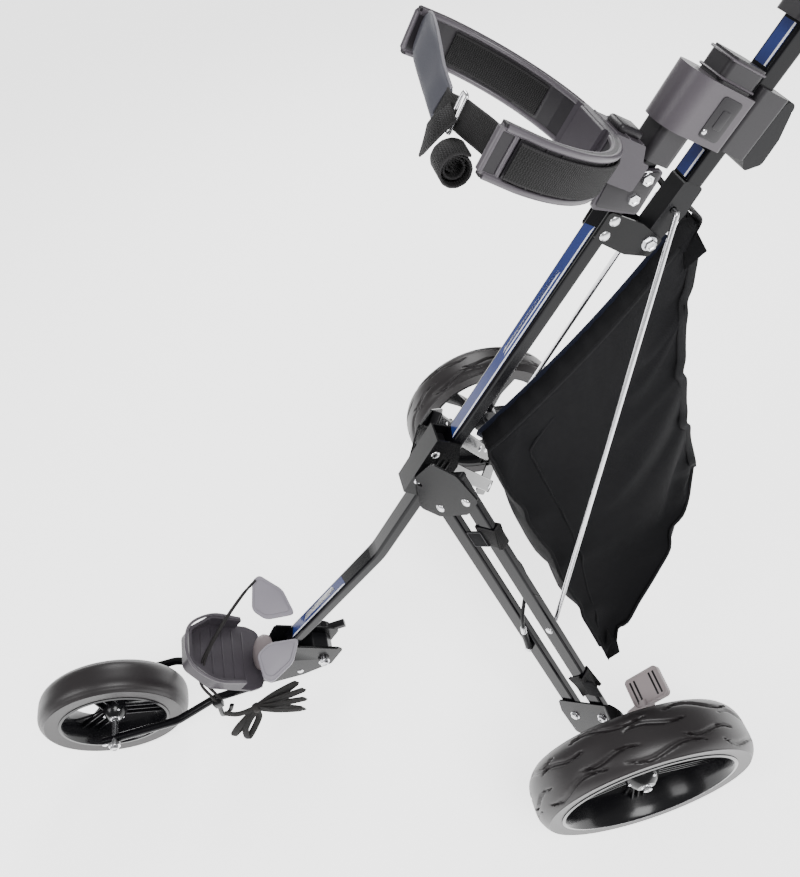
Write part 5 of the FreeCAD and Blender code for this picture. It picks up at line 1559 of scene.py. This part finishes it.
@dataclass
class ElasticTie:
    """The elastic cord over the lower cradle, its hook and the tied bundle of spare webbing."""

    radius: float = 0.0022
    run: tuple[tuple[float, float, float], ...] = (
        (0.458, -0.082, 0.216), (0.480, -0.066, 0.214), (0.519, -0.034, 0.203), (0.556, 0.012, 0.196),
        (0.566, 0.040, 0.184), (0.556, 0.060, 0.168), (0.549, 0.070, 0.160),
    )
    knot: tuple[float, float, float] = (0.512, 0.070, 0.102)
    hook: tuple[float, float, float] = (0.556, 0.068, 0.145)

    def build_strands(self) -> None:
        """Two thin strands side by side, round the far wing and down to the hook."""
        for index, shift in enumerate((-0.0034, 0.0034)):
            points = [cart(x + shift * 0.8, y + shift * 0.6, z) for x, y, z in self.run]
            line = smooth_line(points, 10)
            mesh = loft("strand", sweep_rings(line, circle(self.radius, 12), Vector((0.0, 0.0, 1.0))))
            stands = ["elastic_strap"] if index == 0 else []
            piece = finish_piece(f"elastic_strand_{index}", mesh, Finish.ELASTIC_CORD, "fork", 70.0, stands)
            length = sum((after - before).length for before, after in zip(line, line[1:]))
            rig.cord(piece, exit=tuple(line[0]), length=length, diameter=2 * self.radius, far_end="object",
                    lay="taut" if "taut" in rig.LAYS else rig.LAYS[0], path=[tuple(place) for place in line])

    def build_hook(self) -> None:
        """A black plastic hook under the strands."""
        x, y, z = self.hook
        line = smooth_line([cart(x - 0.006, y + 0.002, z + 0.018), cart(x, y, z), cart(x + 0.006, y, z - 0.024),
                            cart(x + 0.010, y - 0.004, z - 0.044), cart(x + 0.002, y - 0.012, z - 0.052),
                            cart(x - 0.006, y - 0.014, z - 0.040)], 8)
        hook = loft("hook", sweep_rings(line, circle(0.0038, 12, 0.7), Vector((0.0, 1.0, 0.0))))
        collar = rounded_block("collar", Matrix.Translation(cart(x - 0.002, y + 0.001, z + 0.010)),
                               (-0.007, -0.005, -0.008), (0.007, 0.005, 0.008), 0.002, 3)
        finish_piece("elastic_hook", joined("elastic_hook", [hook, collar]), Finish.BLACK_PLASTIC, "fork", 60.0)

    def build_bundle(self) -> None:
        """The fan of folded ribbed webbing, held by one turn round its middle."""
        knot = cart(*self.knot)
        tips = (
            (0.438, 0.060, 0.122), (0.432, 0.068, 0.108), (0.436, 0.076, 0.092), (0.444, 0.084, 0.076),
        )
        for index, tip in enumerate(tips):
            end = cart(*tip)
            lift = Vector((0.0, 0.002 * index, 0.0065))
            points = [knot + lift * 0.3, (knot + end) / 2 + lift, end, (knot + end) / 2 - lift, knot - lift * 0.3]
            mesh = strap_mesh(f"fan_{index}", points, 0.0105, 0.0016, Vector((0.25, 0.95, 0.35)), 8)
            finish_piece(f"webbing_fan_{index}", mesh, Finish.ELASTIC, "fork", 60.0)
        for index, (x, y, z) in enumerate(((0.566, 0.082, 0.058), (0.546, 0.090, 0.050))):
            end = cart(x, y, z)
            side = Vector((0.012, 0.004, -0.002))
            points = [knot, (knot + end) / 2 + side, end, (knot + end) / 2 - side, knot + Vector((0.0, 0.002, -0.002))]
            mesh = strap_mesh(f"loop_{index}", points, 0.0105, 0.0016, Vector((0.3, 0.9, 0.3)), 8)
            finish_piece(f"webbing_loop_{index}", mesh, Finish.ELASTIC, "fork", 60.0)
        x, y, z = self.hook
        lead = [cart(x + 0.004, y + 0.001, z - 0.030), cart(0.540, 0.073, 0.106), knot]
        mesh = strap_mesh("lead", lead, 0.0105, 0.0018, Vector((0.2, 0.9, 0.4)), 10)
        finish_piece("webbing_lead", mesh, Finish.ELASTIC, "fork", 60.0)
        wrap = turned("wrap", knot, Vector((-0.8, -0.1, 0.2)), [
            (0.0050, -0.0050), (0.0072, -0.0040), (0.0078, 0.0), (0.0072, 0.0040), (0.0050, 0.0050)], 20)
        finish_piece("webbing_wrap", wrap, Finish.ELASTIC, "fork", 60.0)

    def build(self) -> None:
        """The whole tie."""
        self.build_strands()
        self.build_hook()
        self.build_bundle()


# ---------------------------------------------------------------- brake


@dataclass
class Brake:
    """The foot pedal, and the cable with its ferrule and ties."""

    radius: float = 0.0025
    run: tuple[tuple[float, float, float], ...] = (
        (0.2260, 0.0080, 0.0023), (0.2040, 0.0170, 0.0015), (0.1840, 0.0250, -0.0075), (0.1640, 0.0340, -0.0180),
        (0.1430, 0.0430, -0.0230), (0.1200, 0.0480, -0.0225), (0.1020, 0.0493, -0.0170), (0.0950, 0.0493, -0.0099),
    )

    def build_pedal(self) -> None:
        """The pedal's pad with straight ridges and a rounded border."""
        dress(Finish.PEDAL_PLASTIC, "brake_pedal")
        place = Matrix.Translation(cart(-0.038, 0.268, 0.234)) @ Matrix.Rotation(math.radians(34.0), 4, "Y")
        parts = []
        border = rounded_outline([(-0.0235, -0.0185), (0.0235, -0.0185), (0.0235, 0.0185), (-0.0235, 0.0185)], 0.006, 6)
        line = [place @ Vector((x, y, 0.0036)) for x, y in border]
        parts.append(loft("border", sweep_rings([*line, line[0], line[1]], circle(0.0014, 8), place.col[2].xyz)))
        finish_piece("pedal_border", joined("pedal_border", parts), Finish.PEDAL_PLASTIC, "pedal", 60.0)
        grooves = []
        for shift in (-0.0175, -0.0115, 0.0115, 0.0175):
            grooves.append(rounded_block("groove", place, (shift - 0.0013, -0.0145, 0.0030),
                                         (shift + 0.0013, 0.0145, 0.0039), 0.0004, 2))
        finish_piece("pedal_grooves", joined("pedal_grooves", grooves), Finish.BLACK_PLASTIC, "pedal")

    def build_cable(self) -> None:
        """The cable from its adjuster into the link bar."""
        dress(Finish.BLACK_PLASTIC, "cable_adjuster")
        line = smooth_line([leg_place(1.0, *place) for place in self.run], 10)
        mesh = loft("cable", sweep_rings(line, circle(self.radius, 12), LEG_FACE))
        piece = finish_piece("brake_cable_sheath", mesh, Finish.BLACK_PLASTIC, "leg_left", 70.0, ["brake_cable"])
        length = sum((after - before).length for before, after in zip(line, line[1:]))
        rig.cord(piece, exit=tuple(line[0]), length=length, diameter=2 * self.radius, far_end="object",
                stiffness="stiff", path=[tuple(place) for place in line])
        parts = [turned("ferrule", line[2], (line[4] - line[0]), [
            (0.0026, -0.008), (0.0040, -0.007), (0.0040, 0.007), (0.0026, 0.009)], 16)]
        parts.append(domed_head("nut", leg_place(1.0, 0.258, -0.002, 0.0051), LEG_FACE, 0.0052, 0.0022))
        finish_piece("cable_fittings", joined("cable_fittings", parts), Finish.BRIGHT_STEEL, "leg_left", 50.0)
        tails = []
        for along, lean in ((0.150, 0.006), (0.158, -0.004)):
            start = leg_place(1.0, along, 0.040, -0.020)
            end = leg_place(1.0, along + lean, 0.066, -0.004)
            tails.append(loft("tail", sweep_rings(smooth_line([start, (start + end) / 2 + LEG_FACE * 0.004, end], 5),
                                                  circle(0.0011, 6, 0.5), LEG_FACE)))
        finish_piece("cable_tie_tails", joined("cable_tie_tails", tails), Finish.BLACK_PLASTIC, "leg_left")

    def build(self) -> None:
        """The whole brake."""
        self.build_pedal()
        self.build_cable()


# ---------------------------------------------------------------- pouch


@dataclass
class StoragePouch:
    """The cloth pouch that hangs between the legs, open at the rear, sewn from four panels."""

    crown: tuple[float, float, float] = (-0.186, 0.012, 0.722)
    front: tuple[float, float, float] = (0.066, 0.018, 0.478)
    lip: tuple[float, float, float] = (-0.216, 0.026, 0.312)
    foot: tuple[float, float, float] = (-0.020, 0.192, 0.166)
    rows: int = 72
    panel: int = 34
    gusset: int = 14
    front_share: float = 0.46
    lip_share: float = 0.70
    frames: int = 36
    ring_size: int = field(init=False, default=0)

    def corner(self, which: str, side: float, share: float) -> Vector:
        """A place on one of the pouch's four long edges.

        Args:
            which: "front" or "rear".
            side: 1 left, -1 right.
            share: From 0 at the crown to 1 at the foot.

        Returns:
            The place.
        """
        knee, knee_share = (self.front, self.front_share) if which == "front" else (self.lip, self.lip_share)
        if share < knee_share:
            t = share / knee_share
            spot = Vector(self.crown).lerp(Vector(knee), t)
            if which == "rear":
                spot.x += 0.030 * math.sin(math.pi * t) * (1.0 - 0.45 * t)
                spot.y += 0.014 * math.sin(math.pi * t)
            else:
                spot.x -= 0.016 * math.sin(math.pi * t)
        else:
            t = (share - knee_share) / (1.0 - knee_share)
            spot = Vector(knee).lerp(Vector(self.foot), t)
            if which == "rear":
                spot.x -= 0.022 * math.sin(math.pi * t)
        return cart(spot.x, side * spot.y, spot.z)

    def ring(self, share: float) -> Ring:
        """One row of the pouch: near side, front, far side, and the rear below the mouth."""
        near_rear = self.corner("rear", 1.0, share)
        near_front = self.corner("front", 1.0, share)
        far_front = self.corner("front", -1.0, share)
        far_rear = self.corner("rear", -1.0, share)
        row = []
        spans = ((near_rear, near_front, self.panel), (near_front, far_front, self.gusset),
                 (far_front, far_rear, self.panel), (far_rear, near_rear, self.gusset))
        for index, (start, end, count) in enumerate(spans):
            for step in range(count):
                t = step / count
                spot = start.lerp(end, t)
                if index in (0, 2):
                    side = 1.0 if index == 0 else -1.0
                    belly = math.sin(math.pi * t) * math.sin(math.pi * min(share * 1.05, 1.0))
                    wave = math.sin(9.0 * t + 7.0 * share) * 0.0035 * math.sin(math.pi * t)
                    spot += Vector((0.0, side * (0.016 * belly + wave), 0.0))
                row.append(spot)
        return row

    def build_cut(self) -> bpy.types.Mesh:
        """The pouch's skin before it hangs, with its mouth open at the rear."""
        rings = [self.ring(step / self.rows) for step in range(self.rows + 1)]
        count = len(rings[0])
        self.ring_size = count
        mouth_row = int(self.rows * self.lip_share)
        rear_start = 2 * self.panel + self.gusset
        faces = []
        for row in range(self.rows):
            for step in range(count):
                after = (step + 1) % count
                if row < mouth_row and step >= rear_start:
                    continue
                faces.append((row * count + step, row * count + after, (row + 1) * count + after,
                              (row + 1) * count + step))
        mesh = bpy.data.meshes.new("pouch")
        mesh.from_pydata([tuple(place) for ring in rings for place in ring], [], faces)
        return mesh

    def pinned(self) -> list[int]:
        """The vertices held by the frame, the legs and the hems."""
        count = self.ring_size
        held = list(range(2 * count))
        corner_steps = {0: 0.0, self.panel: 0.0, self.panel + self.gusset: 0.0, 2 * self.panel + self.gusset: 0.0}
        for row in range(self.rows + 1):
            share = row / self.rows
            if share <= self.front_share or share > 0.90 or row % 9 == 0:
                held += [row * count + self.panel, row * count + self.panel + self.gusset]
            if row % 12 == 0 or abs(share - self.lip_share) < 0.02:
                held += [row * count + step for step in corner_steps if step in (0, 2 * self.panel + self.gusset)]
        held += list(range(self.rows * count, (self.rows + 1) * count))
        return held

    def hang(self, piece: bpy.types.Object) -> None:
        """Lets the cloth settle under its own weight.

        Args:
            piece: The pouch, whose mesh is changed.
        """
        group = piece.vertex_groups.new(name="held")
        group.add(self.pinned(), 1.0, "REPLACE")
        cloth = piece.modifiers.new("cloth", "CLOTH")
        cloth.settings.quality = 6
        cloth.settings.mass = 0.25
        cloth.settings.tension_stiffness = 18.0
        cloth.settings.compression_stiffness = 12.0
        cloth.settings.shear_stiffness = 8.0
        cloth.settings.bending_stiffness = 0.35
        cloth.settings.vertex_group_mass = "held"
        cloth.settings.shrink_min = -0.035
        cloth.settings.air_damping = 2.0
        scene = bpy.context.scene
        cloth.point_cache.frame_start = 1
        cloth.point_cache.frame_end = self.frames
        for frame in range(1, self.frames + 1):
            scene.frame_set(frame)
        shown = piece.evaluated_get(bpy.context.evaluated_depsgraph_get())
        settled = bpy.data.meshes.new_from_object(shown)
        piece.modifiers.remove(cloth)
        for source, target in zip(settled.vertices, piece.data.vertices):
            target.co = source.co
        bpy.data.meshes.remove(settled)
        scene.frame_set(1)

    def thicken(self, mesh: bpy.types.Mesh, depth: float) -> None:
        """Gives the cloth its thickness, and smooths it once."""
        work = bmesh.new()
        work.from_mesh(mesh)
        bmesh.ops.delete(work, geom=[vert for vert in work.verts if not vert.link_faces], context="VERTS")
        bmesh.ops.remove_doubles(work, verts=work.verts, dist=2e-4)
        bmesh.ops.dissolve_degenerate(work, edges=work.edges, dist=2e-4)
        bmesh.ops.recalc_face_normals(work, faces=work.faces)
        bmesh.ops.smooth_vert(work, verts=[vert for vert in work.verts if not vert.is_boundary], factor=0.35,
                              use_axis_x=True, use_axis_y=True, use_axis_z=True)
        bmesh.ops.solidify(work, geom=list(work.faces), thickness=depth)
        bmesh.ops.recalc_face_normals(work, faces=work.faces)
        work.to_mesh(mesh)
        work.free()

    def edge_line(self, mesh: bpy.types.Mesh, step: int, start: float, end: float) -> list[Vector]:
        """Places down one column of the settled cloth."""
        low = int(self.rows * start)
        high = int(self.rows * end)
        return [mesh.vertices[row * self.ring_size + step].co.copy() for row in range(low, high + 1)]

    def cross_line(self, mesh: bpy.types.Mesh, row: int, start: int, end: int) -> list[Vector]:
        """Places along one row of the settled cloth."""
        return [mesh.vertices[row * self.ring_size + step].co.copy() for step in range(start, end + 1)]

    def band(self, title: str, line: Sequence[Vector], width: float, depth: float, face: Vector,
             finish: Finish) -> bpy.types.Object:
        """A sewn band over one line of the cloth, flattened with the pouch as the legs fold."""
        mesh = strap_mesh(title, line[::2] + [line[-1]], width, depth, face, 3)
        return self.flatten(finish_piece(title, mesh, finish, "frame", 60.0))

    def flatten(self, piece: bpy.types.Object) -> bpy.types.Object:
        """Presses a piece toward the middle as the handle folds."""
        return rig.squash(piece, "handle_fold", (0.0, 1.0, 0.0), (0.0, 0.0, 0.4), keep=0.45)

    def build(self) -> None:
        """The pouch, its hems, piping, seams, mouth lip and hanging tab."""
        mesh = self.build_cut()
        piece = finish_piece("pouch_cloth", mesh, Finish.POUCH_CLOTH, "frame", 70.0, ["storage_bag"])
        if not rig.quick():
            self.hang(piece)
        near_front = self.panel
        far_front = self.panel + self.gusset
        far_rear = 2 * self.panel + self.gusset
        mouth_row = int(self.rows * self.lip_share)
        out = Vector((0.0, 1.0, 0.0))
        bands = [
            ("pouch_near_hem", self.edge_line(mesh, 0, 0.05, self.lip_share), 0.011, 0.0030, Finish.HEM_CLOTH),
            ("pouch_far_hem", self.edge_line(mesh, far_rear, 0.05, self.lip_share), 0.011, 0.0030, Finish.HEM_CLOTH),
            ("pouch_near_piping", self.edge_line(mesh, near_front, 0.05, 0.97), 0.005, 0.0030, Finish.HEM_CLOTH),
            ("pouch_far_piping", self.edge_line(mesh, far_front, 0.05, 0.97), 0.010, 0.0034, Finish.NAVY_CLOTH),
            ("pouch_near_seam", self.edge_line(mesh, near_front - 7, 0.40, 0.97), 0.0036, 0.0028, Finish.HEM_CLOTH),
            ("pouch_bottom_seam", self.edge_line(mesh, 0, self.lip_share, 0.97), 0.005, 0.0028, Finish.HEM_CLOTH),
        ]
        sewn = [self.band(title, line, width, depth, out, finish) for title, line, width, depth, finish in bands]
        lip = self.cross_line(mesh, mouth_row, far_rear, far_rear + self.gusset - 1)
        sewn.append(self.band("pouch_mouth_lip", lip, 0.012, 0.0030, Vector((-1.0, 0.0, 0.2)), Finish.HEM_CLOTH))
        area = sum(face.area for face in mesh.polygons)
        self.thicken(mesh, 0.0009)
        mesh.shade_smooth()
        self.flatten(piece)
        width = 0.80
        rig.sheet(piece, flat=(width, area / width), held="hung",
                 rests_on=["upper_bracket_left", "centre_bracket", "link_bar_left", "link_bar_right"],
                 with_pieces=sewn)
        crown = cart(*self.crown)
        tab = strap_mesh("pouch_tab", [crown + Vector((0.004, -0.012, -0.020)), crown + Vector((-0.004, -0.010, 0.004)),
                                       crown + Vector((0.010, -0.010, 0.020))], 0.020, 0.0020, Vector((1.0, 0.0, 0.3)), 8)
        finish_piece("pouch_hanging_tab", tab, Finish.WEBBING, "frame", 60.0)


# ---------------------------------------------------------------- studio


@dataclass
class Studio:
    """The floor, the soft lights and the camera."""

    target: Vector = field(default_factory=lambda: cart(0.166, 0.0, 0.535))
    azimuth: float = 0.254
    elevation: float = 48.973
    roll: float = -17.539
    distance: float = 0.898
    focal_pixels: float = 742.83
    frame_pixels: float = 877.0
    sensor: float = 36.0

    def build_floor(self) -> None:
        """A plain pale floor that runs out of sight."""
        mesh = bpy.data.meshes.new("floor")
        far = 8.0
        mesh.from_pydata([(-far, -far, 0), (far, -far, 0), (far, far, 0), (-far, far, 0)], [], [(0, 1, 2, 3)])
        floor = bpy.data.objects.new("floor", mesh)
        bpy.context.scene.collection.objects.link(floor)
        material = bpy.data.materials.new("pale_floor")
        material.use_nodes = True
        shader = material.node_tree.nodes["Principled BSDF"]
        shader.inputs["Base Color"].default_value = (0.92, 0.92, 0.92, 1.0)
        shader.inputs["Roughness"].default_value = 0.9
        shader.inputs["Emission Color"].default_value = (1.0, 1.0, 1.0, 1.0)
        shader.inputs["Emission Strength"].default_value = 2.2
        mesh.materials.append(material)
        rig.stage(floor)

    def build_world(self) -> None:
        """An even pale surround."""
        world = bpy.data.worlds.new("surround")
        world.use_nodes = True
        back = world.node_tree.nodes["Background"]
        back.inputs[0].default_value = (1.0, 1.0, 1.0, 1.0)
        back.inputs[1].default_value = 0.42
        bpy.context.scene.world = world

    def light(self, name: str, place: Sequence[float], aim: Sequence[float], size: float, power: float) -> None:
        """One soft area light.

        Args:
            name: The light's name.
            place: Where it hangs.
            aim: What it points at.
            size: Its edge length.
            power: Its power in watts.
        """
        lamp = bpy.data.lights.new(name, "AREA")
        lamp.size = size
        lamp.energy = power
        item = bpy.data.objects.new(name, lamp)
        item.location = Vector(place)
        direction = Vector(aim) - Vector(place)
        item.rotation_euler = direction.to_track_quat("-Z", "Y").to_euler()
        bpy.context.scene.collection.objects.link(item)

    def build_camera(self) -> None:
        """The camera, high at the cart's left side."""
        az = math.radians(self.azimuth)
        el = math.radians(self.elevation)
        back = Vector((math.sin(az) * math.cos(el), math.cos(az) * math.cos(el), math.sin(el)))
        ahead = -back
        right = ahead.cross(Vector((0, 0, 1))).normalized()
        up = right.cross(ahead)
        roll = math.radians(self.roll)
        turned_right = right * math.cos(roll) + up * math.sin(roll)
        turned_up = -right * math.sin(roll) + up * math.cos(roll)
        lens = bpy.data.cameras.new("camera")
        lens.sensor_width = self.sensor
        lens.lens = self.focal_pixels * self.sensor / self.frame_pixels
        lens.clip_start = 0.05
        camera = bpy.data.objects.new("camera", lens)
        matrix = Matrix.Identity(4)
        matrix.col[0].xyz = turned_right
        matrix.col[1].xyz = turned_up
        matrix.col[2].xyz = back
        matrix.col[3].xyz = self.target + back * self.distance
        camera.matrix_world = matrix
        bpy.context.scene.collection.objects.link(camera)
        bpy.context.scene.camera = camera

    def build(self) -> None:
        """The whole studio."""
        self.build_floor()
        self.build_world()
        self.light("key", (-0.6, 1.4, 2.4), (0.0, 0.0, 0.4), 1.1, 52.0)
        self.light("fill", (1.6, 0.6, 1.6), (0.1, 0.0, 0.4), 0.9, 18.0)
        self.light("rim", (-0.4, -1.8, 1.8), (0.0, 0.0, 0.5), 1.0, 30.0)
        self.build_camera()


def main() -> None:
    """Builds the cart and the studio round it."""
    logging.basicConfig(level=logging.INFO, format="%(message)s")
    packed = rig.bounds()
    FrameTube().build()
    for name, side in SIDES.items():
        RearLeg(name, side).build()
        RoadWheel("rear", "_" + name, cart(0.0, side * 0.336, 0.146), "wheel_" + name, 0.146, 0.064, 0.118, 0.024, 5,
                  side, flames=7).build()
    RoadWheel("front", "", cart(0.741, 0.0, 0.115), "front_wheel", 0.115, 0.056, 0.084, 0.020, 3, 1.0,
              spoke_half=0.022).build()
    UpperCradle().build()
    FrameLock().build()
    FoldingHandle().build()
    FrontFork().build()
    LowerCradle().build()
    ElasticTie().build()
    Brake().build()
    StoragePouch().build()
    Studio().build()
    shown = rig.bounds()
    with open("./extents.json", "w", encoding="utf-8") as record:
        json.dump({"packed": [list(corner) for corner in packed], "shown": [list(corner) for corner in shown]}, record)


if __name__ == "__main__":
    main()
